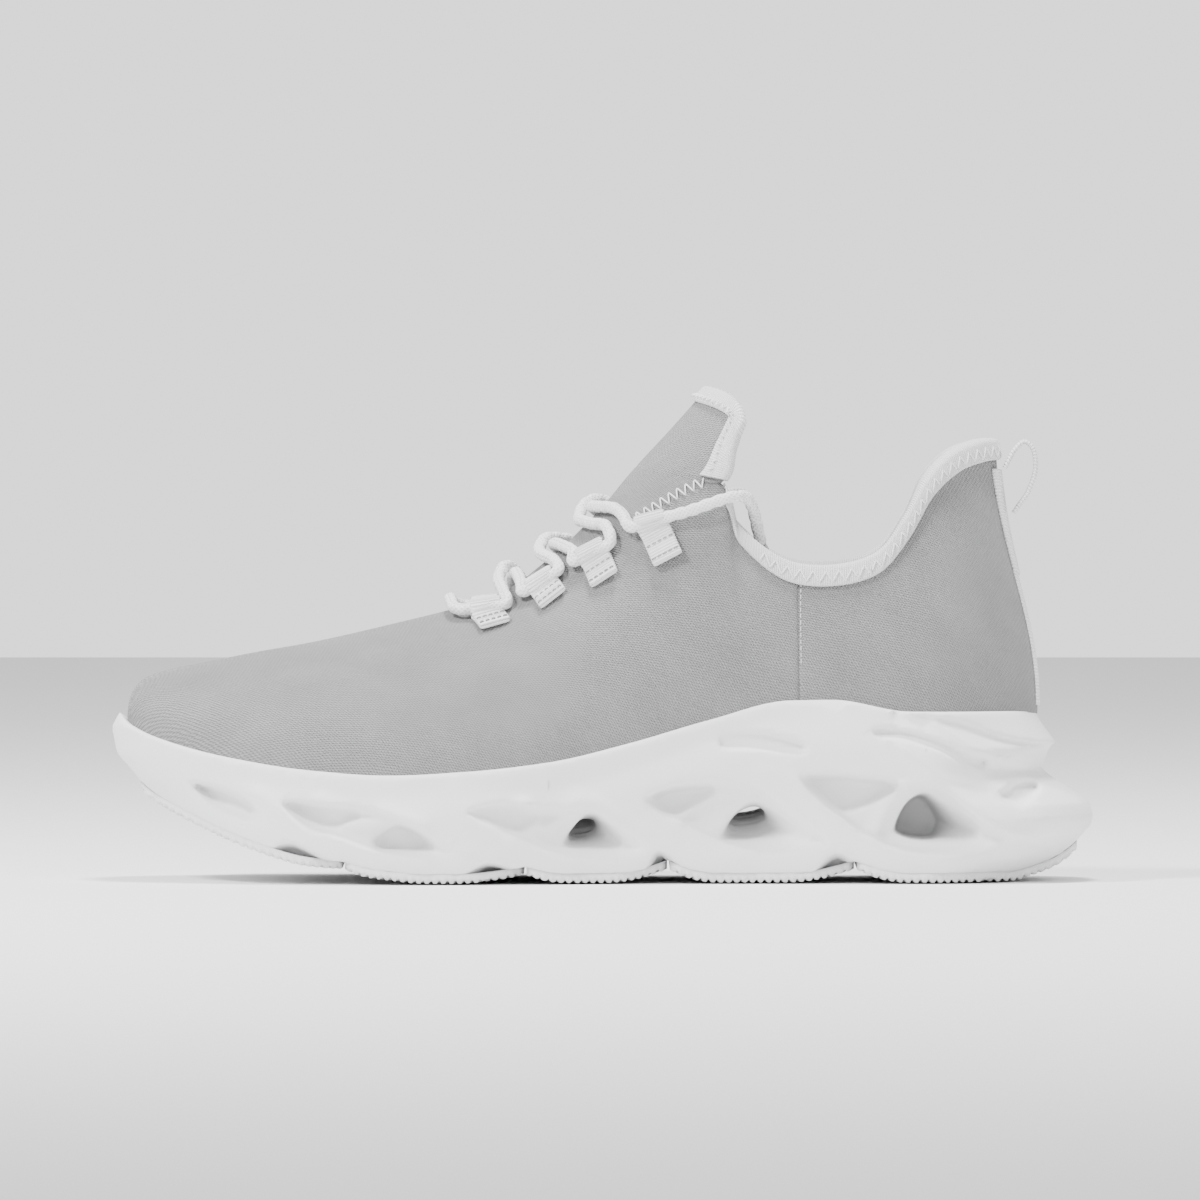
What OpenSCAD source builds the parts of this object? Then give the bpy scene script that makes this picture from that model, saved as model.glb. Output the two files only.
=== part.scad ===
// Running shoe, left foot: knit upper on a sculpted foam midsole.
// The toe points along -X, the heel along +X, the outer side of the foot is -Y,
// Z is up, and the origin is on the ground under the middle of the sole.
// All lengths are in millimetres.

/* [Size] */
// Overall length of the sole, which grades the whole shoe
shoe_length = 305; // [260:5:330]

/* [Sole] */
// Thickness of the rubber outsole pads
outsole_t = 2.5; // [2:0.1:3]
// Depth of the shaped recesses in the side of the midsole
recess_depth = 7; // [3:1:9]
// How far a tread pad stays inside the edge of the midsole
pad_inset = 3; // [2:0.5:5]

/* [Footbed] */
// Thickness of the board that closes the upper underneath
board_t = 1.5; // [1:0.1:2]
// Thickness of the removable insole
insole_t = 4.5; // [3:0.5:5]
// Gap all round the insole, so that it lifts out
insole_gap = 0.8; // [0.5:0.1:2]

/* [Upper] */
// Thickness of the knit fabric
knit_t = 2; // [1.5:0.1:2.5]
// Thickness of the toe stiffener
puff_t = 1; // [0.8:0.1:1.4]
// Thickness of the heel stiffener
counter_t = 1.6; // [1.2:0.1:1.8]
// Thickness of the lining at the heel
lining_t = 0.8; // [0.6:0.1:1]
// Extra thickness that the foam gives the collar
foam_t = 4.5; // [3:0.5:5]

/* [Bindings] */
// Width of the binding tape on the collar and tongue
binding_w = 5.6; // [4:0.2:6]
// Thickness of the binding tape
binding_t = 1; // [0.8:0.1:1.2]
// Width of the tape up the back of the heel
heel_tape_w = 12; // [10:1:16]
// Width of the webbing of the pull loop
pull_loop_w = 11; // [8:1:12]

/* [Lacing] */
// Diameter of the round lace
lace_d = 3.8; // [3.5:0.1:3.8]
// Width of each webbing lace loop
tab_w = 9; // [8:0.2:9]
// Thickness of the webbing of a lace loop
tab_t = 0.9; // [0.7:0.1:1]

/* [Hidden] */
pattern_length = 305;
grade = shoe_length / pattern_length;
$fn = 48;

foam_white = [0.93, 0.93, 0.94];
knit_grey = [0.72, 0.72, 0.72];
trim_white = [0.96, 0.96, 0.96];
rubber_white = [0.85, 0.85, 0.87];
board_grey = [0.6, 0.6, 0.62];
stiffener_tan = [0.8, 0.76, 0.7];

// ---- Curves -------------------------------------------------------------

function unit(v) = norm(v) > 0 ? v / norm(v) : v;
function mix(a, b, t) = a + (b - a) * t;

// Catmull-Rom step from b to c
function spline(a, b, c, d, t) =
    0.5 * (2 * b + (c - a) * t + (2 * a - 5 * b + 4 * c - d) * t * t
           + (3 * b - a - 3 * c + d) * t * t * t);

// Cubic Bezier through four control points, from index k
function bezier(p, k, t) =
    p[k] * pow(1 - t, 3) + 3 * p[k + 1] * t * pow(1 - t, 2)
    + 3 * p[k + 2] * t * t * (1 - t) + p[k + 3] * pow(t, 3);

// Smooth height over x through [x, value] keys, with no overshoot
function span_of(p, x, i = 0) =
    i >= len(p) - 2 || x < p[i + 1][0] ? i : span_of(p, x, i + 1);
function chord(p, i) = (p[i + 1][1] - p[i][1]) / (p[i + 1][0] - p[i][0]);
function key_slope(p, i) =
    i == 0 ? chord(p, 0)
    : i == len(p) - 1 ? chord(p, i - 1)
    : chord(p, i - 1) * chord(p, i) <= 0 ? 0
    : 2 / (1 / chord(p, i - 1) + 1 / chord(p, i));
function height_at(p, x) =
    let (i = span_of(p, x), w = p[i + 1][0] - p[i][0],
         t = max(0, min(1, (x - p[i][0]) / w)),
         a = key_slope(p, i) * w, b = key_slope(p, i + 1) * w,
         y0 = p[i][1], y1 = p[i + 1][1])
    y0 + a * t + (3 * (y1 - y0) - 2 * a - b) * t * t + (a + b - 2 * (y1 - y0)) * pow(t, 3);

// Smooth closed outline through its points, n steps from each to the next
function outline(p, n = 6) =
    [for (i = [0:len(p) - 1], j = [0:n - 1])
        spline(p[(i + len(p) - 1) % len(p)], p[i], p[(i + 1) % len(p)],
               p[(i + 2) % len(p)], j / n)];

// ---- Sole curves --------------------------------------------------------

// Footbed height along the shoe
footbed_keys = [[-150, 41], [-130, 35.5], [-110, 30.5], [-90, 27], [-60, 25], [-30, 26],
                [0, 30], [30, 35], [60, 39], [90, 40], [140, 40]];
// Upper edge of the midsole's rim
rim_keys = [[-153, 56], [-146, 48], [-134, 43], [-115, 38.4], [-90, 34.7], [-66, 33.2],
            [-41, 34.4], [-16, 37.2], [8, 42.8], [33, 50], [58, 56], [71, 56.2],
            [95, 52.5], [127, 52.3], [135, 52]];
// Underside of the tread, with toe spring and a rounded heel
tread_keys = [[-146, 31], [-141, 25.5], [-134, 21.4], [-127, 18], [-115, 12.7],
              [-103, 8.4], [-92, 5], [-78, 2.6], [-64, 0.8], [-54, 0], [126, 0],
              [133, 1.6], [139, 3.7], [145, 7.4], [150, 13]];
// Where each tread pad starts and ends
pad_ends = [[-144, -91], [-87, -31], [-21, 17], [27, 69], [81, 148]];
// Grooves between pads: centre and depth
pad_grooves = [[-89, 3], [-26, 6], [22, 7], [75, 8]];
// Plan of the sole, from the toe tip round the outer side, heel and inner side
sole_plan = outline([
    [-152.5, 5], [-150, -9], [-142, -23], [-124, -37], [-98, -49], [-70, -54.6],
    [-42, -54.8], [-10, -48.5], [25, -43.5], [60, -42.5], [95, -44.5], [122, -43.5],
    [140, -35], [149.6, -19], [152.5, 0], [149.6, 19], [140, 33], [122, 41], [95, 42],
    [60, 38.5], [25, 39], [-10, 45], [-42, 52.5], [-70, 54.8], [-98, 51], [-124, 42],
    [-142, 30], [-150, 17.5]]);

function footbed(x) = height_at(footbed_keys, x);
function tread(x) = height_at(tread_keys, x);

// Windows right through the midsole
windows = [
    outline([[-14, 15], [-7, 20.5], [1, 19], [4, 13.5], [-4, 11], [-12, 11.8]]),
    outline([[33, 16.5], [42, 24], [52, 20.5], [58, 14.5], [48, 12.2], [36, 12.4]])];
// Deep recess under the heel, and the web of foam that closes it in the middle
heel_recess = outline([[88, 17], [96, 28], [106, 24.5], [115, 15.5], [104, 12.4], [91, 12.6]]);
heel_web = 30;
// Recesses in the side of the midsole
recesses = [
    outline([[-125, 29.8], [-114, 28], [-107, 22.5], [-109, 19.8], [-117, 22]]),
    outline([[-98, 24], [-88, 22], [-80, 21], [-86, 16.4], [-92, 18]]),
    outline([[-70.4, 13], [-63, 18.9], [-56, 15.5], [-52.4, 11], [-60, 9.3], [-68, 10]]),
    outline([[-35, 23], [-25, 22.5], [-17, 21.5], [-23, 16.4], [-29, 17.5]]),
    outline([[13, 28], [22, 29], [30, 28], [24, 21], [18, 22.5]]),
    outline([[64, 31], [76, 30], [86, 29], [78, 22.6], [70, 24.5]]),
    outline([[37, 44], [44, 46], [56, 43.5], [61, 40.5], [52, 39.7], [42, 41]]),
    outline([[83, 48.5], [98, 46.5], [110, 42], [119, 35], [108, 40], [96, 44]]),
    outline([[124, 28], [129, 30], [134, 28], [131, 23.5], [126, 24]])];

// ---- Upper surface ------------------------------------------------------
//
// The surface is lofted round the foot: station 0 is the toe, station 19 the heel,
// and stations 19 to 38 return along the inner side. At each station a side curve
// climbs from the footbed to the seam or collar, and a crown curve carries on to
// the ridge of the foot. Each station is [B, P1, P2, S, C1, C2, R], its control
// points for the outer side, and how wide the inner side is beside it.

function closed_station(b, p1, p2, r, inner) =
    // one curve from footbed to ridge, split in a side and a crown
    let (t = 0.8, b0 = [b.x, b.y, footbed(b.x) + board_t],
         q0 = mix(b0, p1, t), q1 = mix(p1, p2, t), q2 = mix(p2, r, t),
         s0 = mix(q0, q1, t), s1 = mix(q1, q2, t), e = mix(s0, s1, t))
    [[b0, q0, s0, e, s1, q2, r], inner];
function open_station(b, p1, p2, s, c1, c2, r, inner) =
    [[[b.x, b.y, footbed(b.x) + board_t], p1, p2, s, c1, c2, r], inner];
function collar_station(b, p1, p2, s, inner) =
    open_station(b, p1, p2, s, s, s, s, inner);

stations = [
    closed_station([-147, 6], [-148.5, 6, 62], [-144, 6, 62.5], [-128, 6, 66], 1),
    closed_station([-144, -8], [-146, -9, 60], [-141, -5, 63], [-125, 5.8, 66.6], 0.96),
    closed_station([-134, -21.5], [-135.5, -23.5, 58], [-130, -16, 65.4],
                   [-117, 5.5, 68.2], 0.92),
    closed_station([-118, -33.5], [-119, -36, 56], [-113, -24, 68.9],
                   [-105, 5, 70.6], 0.88),
    closed_station([-97, -43], [-97.5, -46, 55], [-93, -29, 72.6], [-88, 4.5, 73.7], 0.86),
    closed_station([-72, -48.5], [-72, -52, 54], [-69, -32, 78], [-66, 4, 78.7], 0.86),
    closed_station([-46, -49], [-46, -52, 56], [-44, -30, 84], [-43, 3, 84.4], 0.87),
    open_station([-22, -46], [-22, -49, 60], [-27, -30, 80], [-28, -13, 86],
                 [-28.5, -8, 88.5], [-29, -4, 90], [-29, 2, 90], 0.88),
    open_station([0, -42], [-1, -45, 70], [-6, -31, 88], [-8, -18.5, 98.5],
                 [-11, -13, 101], [-14, -7, 101.5], [-14, 1, 101.5], 0.88),
    open_station([20, -38.8], [19, -41.5, 75], [14, -33, 98], [12, -23.5, 112],
                 [5, -18.8, 113.5], [-2, -10, 113.2], [-2, 0, 113.2], 0.88),
    open_station([35, -37], [36, -39.5, 78], [36, -34, 104], [35.5, -27.5, 122.5],
                 [22, -23, 124.5], [10, -14, 127], [10, 0, 127], 0.9),
    open_station([46, -36], [45, -38.5, 76], [42.5, -33.4, 94], [42, -28.8, 109.5],
                 [32, -22, 136], [22, -14, 140], [22, 0, 140], 0.92),
    collar_station([57, -35.3], [57, -38, 72], [51, -33.5, 86], [56, -30.5, 98.6], 0.93),
    collar_station([70, -35], [70, -37.8, 70], [71, -33, 84], [71, -30.5, 96.6], 0.94),
    collar_station([88, -34.3], [88, -37, 72], [86, -31, 86], [85, -29, 100.5], 0.95),
    collar_station([104, -32.3], [105, -35.5, 74], [97, -28, 92], [94, -26.5, 111.5], 0.96),
    collar_station([116, -28], [118, -31.5, 76], [105, -24, 98], [101, -23, 124], 0.97),
    collar_station([126, -20], [129, -22.5, 78], [114, -17.5, 100], [109, -17, 131.5], 0.98),
    collar_station([132.2, -10.5], [136, -12, 78], [121.5, -9, 98], [117, -8.8, 134.5], 0.99),
    collar_station([134.3, 0], [138.5, 0, 78], [124, 0, 92], [122, 0, 135], 1)];
heel_station = len(stations) - 1;
loop_stations = 2 * heel_station;

function inner_side(k) =
    let (net = stations[k][0], ridge = net[6].y * (k > 11 ? 0 : 1), w = stations[k][1])
    [for (p = net) [p.x, ridge + (ridge - p.y) * w, p.z]];
nets = [for (k = [0:loop_stations - 1])
    k <= heel_station ? stations[k][0] : inner_side(loop_stations - k)];
function net(k) = nets[(k + loop_stations) % loop_stations];
function net_at(s) =
    let (k = floor(s), t = s - k)
    [for (r = [0:6]) spline(net(k - 1)[r], net(k)[r], net(k + 1)[r], net(k + 2)[r], t)];

// Point of a station's curve: q runs 0 to 1 up the side and 1 to 2 over the crown
function on_net(n, q) = q <= 1 ? bezier(n, 0, q) : bezier(n, 3, q - 1);

// Step used to find the surface's normal
eps = 0.02;
// A station's curve moved inwards by depths, one for each q
function station_curve(s, qs, depths) =
    let (n = net_at(s), back = net_at(s - eps), ahead = net_at(s + eps))
    [for (i = [0:len(qs) - 1])
        let (q = qs[i], q0 = max(0, min(2 - eps, q - eps / 2)),
             along = on_net(ahead, q) - on_net(back, q),
             up = on_net(n, q0 + eps) - on_net(n, q0))
        on_net(n, q) - unit(cross(along, up)) * depths[i]];

// ---- Shells -------------------------------------------------------------

// Closed shell between an outer and an inner grid. keep(j, i) says which cells it
// has. With a nose, the first row is folded in two and its halves are one.
function vertex(j, i, ni, nose) = j * ni + (nose && j == 0 ? min(i, ni - 1 - i) : i);
function edge_faces(p, q, n) = [[p, q, q + n], [p, q + n, p + n]];
function shell_faces(nj, ni, nose, keep) =
    let (n = nj * ni, has = function(j, i)
            j >= 0 && i >= 0 && j < nj - 1 && i < ni - 1 && keep(j, i))
    [for (j = [0:nj - 2], i = [0:ni - 2]) if (has(j, i))
        let (a = vertex(j, i, ni, nose), b = vertex(j + 1, i, ni, nose),
             c = vertex(j + 1, i + 1, ni, nose), d = vertex(j, i + 1, ni, nose))
        each concat(
            [[a, c, b], [a, d, c], [a + n, b + n, c + n], [a + n, c + n, d + n]],
            has(j, i - 1) ? [] : edge_faces(a, b, n),
            has(j + 1, i) ? [] : edge_faces(b, c, n),
            has(j, i + 1) ? [] : edge_faces(c, d, n),
            has(j - 1, i) || (nose && j == 0) ? [] : edge_faces(d, a, n))];

module shell(outer, inner, nose = false, keep = function(j, i) true) {
    polyhedron(concat([for (r = outer) each r], [for (r = inner) each r]),
               shell_faces(len(outer), len(outer[0]), nose, keep), convexity = 8);
}

// Rows of a shell between stations s0 and s1, at depth d(s, q)
function rows(ss, qs, d) = [for (s = ss) station_curve(s, qs, [for (q = qs) d(s, q)])];
function steps(a, b, n) = [for (k = [0:n]) mix(a, b, k / n)];

// Stations that every piece round the heel shares, so that their layers nest: from
// the front corner of the collar to the heel, closer together round the corner
collar_s = concat(steps(10.2, 11, 4), steps(11 + 1 / 3, heel_station, 23));
// Stations from a, round the heel, to the same place on the inner side
function heel_ring(a) =
    let (n = len(collar_s) - 1)
    concat([a], [for (s = collar_s) if (s > a) s],
           [for (k = [n - 1:-1:0]) if (collar_s[k] > a) loop_stations - collar_s[k]],
           [loop_stations - a]);

// A piece that goes round the heel, between two depths
module heel_patch(ss, qs, d0, d1) {
    shell(rows(ss, qs, d0), rows(ss, qs, d1));
}

// Hoops over the forefoot: the outer side, the crown and back down the inner side
function hoop(s, qs, d) =
    let (outer = station_curve(s, qs, [for (q = qs) d]),
         inner = station_curve(loop_stations - s, qs, [for (q = qs) d]), m = len(qs) - 1)
    concat(outer, [for (i = [m - 1:-1:0]) inner[i]]);

// ---- Depths of the layers inside the knit -------------------------------

layer_gap = 0.1;
counter_start = 14 + 1 / 3;
foam_bottom = 0.54;
foam_top = 0.97;
collar_start = 10.5;
lining_start = 11;
function bump(q) = sin(180 * (q - foam_bottom) / (1 - foam_bottom));
function near_lining(s) = min(1, max(0, 2 * (min(s, loop_stations - s) - collar_start)));
function foam_fade(s) = min(1, max(0, (min(s, loop_stations - s) - collar_start) / 1.5));
function lining_depth(s, q) =
    knit_t + counter_t + 3 * layer_gap + (q > foam_bottom ? foam_t * bump(q) * foam_fade(s) : 0);

// ---- Sole parts ---------------------------------------------------------

// Wider than the shoe, for cuts right across it
across_w = 140;
module side_extrude(points, w = across_w) {
    rotate([90, 0, 0]) linear_extrude(height = w, center = true) polygon(points);
}

// Strip of even height along a curve z(x)
function strip(xs, z, t) =
    concat([for (x = xs) [x, z(x)]], [for (k = [len(xs) - 1:-1:0]) [xs[k], z(xs[k]) + t]]);

// Plan of the upper's bottom edge, moved in by a distance
function last_plan(inset, n = 4) =
    [for (k = [0:loop_stations * n - 1])
        let (s = k / n, p = net_at(s)[0], d = net_at(s + eps)[0] - net_at(s - eps)[0],
             u = unit([d.x, d.y]))
        [p.x - inset(s) * u.y, p.y + inset(s) * u.x]];

// Outline of the sole moved in by an even distance
function plan_inset(p, d) =
    [for (k = [0:len(p) - 1])
        let (t = unit(p[(k + 1) % len(p)] - p[(k + len(p) - 1) % len(p)]))
        [p[k].x - d * t.y, p[k].y + d * t.x]];

sole_h = 60;
bed_x = steps(-150, 140, 36);
// Room for the upper's outward slope between the footbed and the rim
pocket_room = 1.7;
// Reach of a groove ahead of and behind its crest, at the ground and at its shoulders
groove_foot = [9, 4];
groove_shoulder = [6, 3];
module sole_block(inset = 0) {
    linear_extrude(height = sole_h) polygon(inset == 0 ? sole_plan : plan_inset(sole_plan, inset));
}

// Side view of the midsole: rim, heel fin, rounded heel and underside
midsole_side = concat(
    [for (x = [-147:7:130]) [x, height_at(rim_keys, x)]],
    [[134.8, 52], [138, 47.5], [142.6, 41.2], [137, 34.2], [142, 30.4], [147, 27.3],
     [151.3, 23.6], [152.5, 19.5], [151.6, 16]],
    [for (x = [148:-6:-146]) [x, tread(x) + outsole_t]],
    [[-150.7, 39], [-152.4, 46.8], [-150.5, 52.5], [-148.4, 55.6]]);

module midsole() {
    color(foam_white)
    difference() {
        intersection() {
            sole_block();
            side_extrude(midsole_side);
        }
        // pocket that the upper and its board sit in
        intersection() {
            linear_extrude(height = 2 * sole_h) polygon(last_plan(function(s) -pocket_room));
            side_extrude(strip(bed_x, function(x) footbed(x), sole_h));
        }
        for (w = windows) side_extrude(w);
        for (y = [-1, 1])
            translate([0, y * (heel_web + across_w) / 2, 0]) side_extrude(heel_recess);
        for (g = pad_grooves)
            side_extrude([[g[0] - groove_foot[0], -1], [g[0] + groove_foot[1], -1],
                          [g[0] + groove_shoulder[1], outsole_t], g,
                          [g[0] - groove_shoulder[0], outsole_t]]);
        difference() {
            for (r = recesses) side_extrude(r);
            translate([0, 0, -1]) linear_extrude(height = sole_h + 2)
                polygon(plan_inset(sole_plan, recess_depth));
        }
    }
}

module outsole_pad(k) {
    ends = pad_ends[k];
    xs = concat([ends[0]], [for (x = [-146:6:148]) if (x > ends[0] && x < ends[1]) x], [ends[1]]);
    color(rubber_white)
    intersection() {
        translate([0, 0, -1]) sole_block(pad_inset);
        side_extrude(strip(xs, function(x) tread(x), outsole_t));
    }
}

module strobel_board() {
    color(board_grey)
    intersection() {
        linear_extrude(height = sole_h) polygon(last_plan(function(s) layer_gap));
        side_extrude(strip(bed_x, function(x) footbed(x) + layer_gap / 2, board_t - layer_gap));
    }
}

// Gap under the insole
insole_rest = 0.3;
// How far the insole stays inside the upper's edge: more where it meets the heel layers
function insole_inset(s) =
    let (k = min(s, loop_stations - s))
    insole_gap + knit_t + puff_t + (counter_t + lining_t) * min(1, max(0, k - 9));

module insole() {
    color(knit_grey)
    intersection() {
        linear_extrude(height = sole_h) polygon(last_plan(function(s) insole_inset(s)));
        side_extrude(strip(bed_x, function(x) footbed(x) + board_t + insole_rest, insole_t));
    }
}

// ---- Upper parts --------------------------------------------------------

side_q = steps(0, 1, 9);
crown_q = steps(1, 2, 4);
hoop_q = concat(side_q, [for (k = [1:4]) crown_q[k]]);
hoop_n = len(hoop_q) - 1;
seam_row = len(side_q) - 1;
throat_start = 6.4;
throat_end = 10;
panel_seam = 12 + 1 / 3;
vamp_s = concat(steps(0, 6, 18), [throat_start], steps(6.8, 9.8, 9), [throat_end]);
quarter_s = [for (s = collar_s) if (s < panel_seam + eps) s];
throat_first = 19;
gusset_edge = 1.01;

// Knit from the toe to the seam behind the arch, open at the throat and the ankle
module forefoot_upper() {
    ss = concat(vamp_s, quarter_s);
    color(knit_grey)
    shell([for (s = ss) hoop(s, hoop_q, 0)], [for (s = ss) hoop(s, hoop_q, knit_t)], true,
          function(j, i) j < throat_first || i < seam_row || i >= 2 * hoop_n - seam_row);
}

// Elastic panel between the two rows of lace loops, up to where the tongue is free
module throat_gusset() {
    ss = [for (k = [throat_first:len(vamp_s) - 1]) vamp_s[k]];
    qs = concat([gusset_edge], [for (k = [1:4]) crown_q[k]]);
    color(knit_grey)
    shell([for (s = ss) hoop(s, qs, 0)], [for (s = ss) hoop(s, qs, knit_t)]);
}

module heel_upper() {
    color(knit_grey)
    heel_patch(heel_ring(panel_seam + 0.01), side_q, function(s, q) 0, function(s, q) knit_t);
}

module toe_puff() {
    ss = steps(0, 3, 9);
    color(stiffener_tan)
    shell([for (s = ss) hoop(s, hoop_q, knit_t + layer_gap)],
          [for (s = ss) hoop(s, hoop_q, knit_t + puff_t)], true);
}

module heel_counter() {
    color(stiffener_tan)
    heel_patch(heel_ring(counter_start), [for (k = [0:4]) side_q[k]],
               function(s, q) knit_t + layer_gap,
               function(s, q) knit_t + layer_gap + counter_t);
}

foam_q = steps(foam_bottom, foam_top, 6);
module collar_foam() {
    color(board_grey)
    heel_patch(heel_ring(lining_start), foam_q, function(s, q) knit_t + layer_gap,
               function(s, q) lining_depth(s, q) - layer_gap);
}

module heel_lining() {
    color(trim_white)
    heel_patch(heel_ring(lining_start), concat([0, 0.25, 0.48], foam_q, [0.99]),
               function(s, q) lining_depth(s, q),
               function(s, q) lining_depth(s, q) + lining_t);
}

// Share of a station's side curve that a length at its top takes
function top_share(s, w) = let (n = net_at(s)) w / (3 * norm(n[3] - n[2]));
function side_point(s, q, d) = station_curve(s, [q], [d])[0];

// Tape folded over the edge of the collar, over knit, foam and lining
binding_start = 10.25;
module collar_binding() {
    t = binding_t;
    g = layer_gap;
    shares = [1, 0.7, 0.4, 0.15];
    function inside(s, q) =
        mix(knit_t, lining_depth(s, q) + lining_t, near_lining(s)) + g;
    function over(s, d, h) =
        let (n = net_at(s), up = unit(n[3] - n[2])) side_point(s, 1, d) + up * h;
    // the outer flap, the fold over the edge and the inner flap, at a height h off the layers
    function row(s, h) =
        let (q = 1 - top_share(s, binding_w), m = inside(s, 1))
        concat([side_point(s, q, -g - h), side_point(s, 1, -g - h), over(s, 0.2 * m, g + h),
                over(s, 0.8 * m, g + h), side_point(s, 1, m + h)],
               [for (k = [3:-1:0]) let (p = mix(1, q, shares[k])) side_point(s, p, inside(s, p) + h)]);
    ss = heel_ring(binding_start);
    color(trim_white)
    shell([for (s = ss) row(s, t)], [for (s = ss) row(s, 0)]);
}

// ---- Tongue -------------------------------------------------------------
//
// The free flap carries the crown on past station 10. Across it, f runs from -1 at
// its outer edge to 1 at its inner edge, and u from 0 at its root to 1 at its top.

tongue_nets = [
    for (k = [9, 10]) [for (r = [3:6]) stations[k][0][r]],
    [[40, -27, 134.5], [33, -22.5, 136.5], [22, -14, 140], [22, 0, 140]],
    [[44.5, -22.5, 147], [40, -20, 149.5], [32, -13, 151.4], [32, 0, 151.4]],
    [[48, -17, 158], [45, -15, 161], [42, -11, 163.5], [42, 0, 163.5]]];
tongue_root = 10.08;
tongue_inner = 0.91;
function tongue_top(f) = 12 - 0.4 * pow(abs(f), 6);
function tongue_net(h) =
    let (k = floor(h), t = h - k, n = function(i) tongue_nets[max(0, min(4, i - 9))])
    [for (r = [0:3]) spline(n(k - 1)[r], n(k)[r], n(k + 1)[r], n(k + 2)[r], t)];
function tongue_surface(u, f) =
    let (h = min(11.999, mix(tongue_root, tongue_top(f), u)),
         p = bezier(tongue_net(h), 0, 1 - abs(f)))
    f > 0 ? [p.x, -p.y * tongue_inner, p.z] : p;
function tongue_point(u, f, d) =
    let (u0 = min(u, 1 - eps), f0 = min(f, 1 - eps),
         across = tongue_surface(u, f0 + eps) - tongue_surface(u, f0),
         up = tongue_surface(u0 + eps, f) - tongue_surface(u0, f))
    tongue_surface(u, f) + unit(cross(across, up)) * d;

tongue_u = steps(0, 1, 8);
tongue_f = steps(-1, 1, 20);
module tongue_flap() {
    color(knit_grey)
    shell([for (u = tongue_u) [for (f = tongue_f) tongue_point(u, f, 0)]],
          [for (u = tongue_u) [for (f = tongue_f) tongue_point(u, f, knit_t)]]);
}

// Tape folded over the three free edges of the flap
module tongue_binding() {
    t = binding_t;
    g = layer_gap;
    // share of the flap that the tape covers from its top and its side edges
    share = 0.17;
    low = 0.04;
    border = concat([[low, 1]], [for (u = tongue_u) if (u > low) [u, 1]],
                    [for (f = tongue_f) if (abs(f) < 1) [1, -f]],
                    [for (k = [len(tongue_u) - 1:-1:1]) [tongue_u[k], -1]], [[low, -1]]);
    lap = [for (p = border) [min(p[0], 1 - share), max(-1 + share, min(1 - share, p[1]))]];
    function at(p, d) = tongue_point(p[0], p[1], d);
    function out(k, h) =
        let (a = at(border[k], knit_t / 2), b = at(lap[k], knit_t / 2)) a + unit(a - b) * h;
    color(trim_white)
    shell([for (k = [0:len(border) - 1])
              [at(lap[k], -t - g), at(border[k], -t - g), out(k, t + g),
               at(border[k], knit_t + t + g), at(lap[k], knit_t + t + g)]],
          [for (k = [0:len(border) - 1])
              [at(lap[k], -g), at(border[k], -g), out(k, g),
               at(border[k], knit_t + g), at(lap[k], knit_t + g)]]);
}

// ---- Heel tape and pull loop --------------------------------------------

heel_tape_t = 1.4;
module heel_tape() {
    half = heel_tape_w / 20;
    ss = steps(heel_station - half, heel_station + half, 6);
    function thick(q) = q > 0.6 ? heel_tape_t : heel_tape_t / 2;
    color(trim_white)
    heel_patch(ss, concat(steps(0.14, 0.56, 5), steps(0.62, 0.9, 4)),
               function(s, q) -thick(q), function(s, q) -layer_gap);
}

// Axis that the pull loop bends about, just behind the heel tape
pull_axis = [126.8, 112.6];
// Middle of the loop's webbing, from its upper end round to its lower end
pull_route = [[126, 125.4], [127.6, 131.6], [131, 134.9], [134, 132], [134.2, 126],
              [132, 119.8], [128.8, 115.2]];
pull_t = 1.4;
module heel_pull_loop() {
    n = len(pull_route);
    function at(k) = pull_route[max(0, min(n - 1, k))];
    mid = [for (k = [0:n - 2], j = [0:3]) spline(at(k - 1), at(k), at(k + 1), at(k + 2), j / 4)];
    line = concat(mid, [at(n - 1)]);
    m = len(line) - 1;
    function edge(k, w) =
        let (t = unit(line[min(m, k + 1)] - line[max(0, k - 1)])) line[k] + w * [-t.y, t.x];
    color(trim_white)
    side_extrude(concat([for (k = [0:m]) edge(k, pull_t / 2)],
                        [for (k = [m:-1:0]) edge(k, -pull_t / 2)]), pull_loop_w);
}

// ---- Lacing -------------------------------------------------------------

// Where each webbing loop sits: station, how high up the side, length of its sewn tail
tab_places = [[6.5, 0.95, 9], [7.53, 0.94, 8.5], [8.3, 0.93, 9.5], [9.15, 0.91, 12]];
tab_bore = lace_d / 2 + 0.15;
// Gap between the knit and a loop's eye, and the further gap to its tail
tab_lift = 0.1;
tab_rest = 0.3;
// Origin and axes of a webbing loop on the outer (side 0) or inner (side 1) quarter
function tab_frame(k, side) =
    let (s = side == 0 ? tab_places[k][0] : loop_stations - tab_places[k][0],
         q = tab_places[k][1], back = net_at(s - eps), ahead = net_at(s + eps), n = net_at(s),
         along = on_net(ahead, q) - on_net(back, q),
         down = on_net(n, q - eps) - on_net(n, q),
         normal = unit(cross(along, -down)), v = unit(down - normal * (down * normal)))
    [on_net(n, q) + normal * tab_lift, v, normal, cross(v, normal)];

module lace_loop(k, side) {
    f = tab_frame(k, side);
    r = tab_bore + tab_t;
    m = [for (i = [0:2]) [f[1][i], f[2][i], f[3][i], f[0][i]]];
    color(trim_white)
    multmatrix([m[0], m[1], m[2], [0, 0, 0, 1]])
    linear_extrude(height = tab_w, center = true)
    difference() {
        union() {
            translate([0, r]) circle(r);
            translate([0, tab_rest]) square([tab_places[k][2], 2 * tab_t - tab_rest]);
        }
        translate([0, r]) circle(tab_bore);
    }
}

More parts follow.
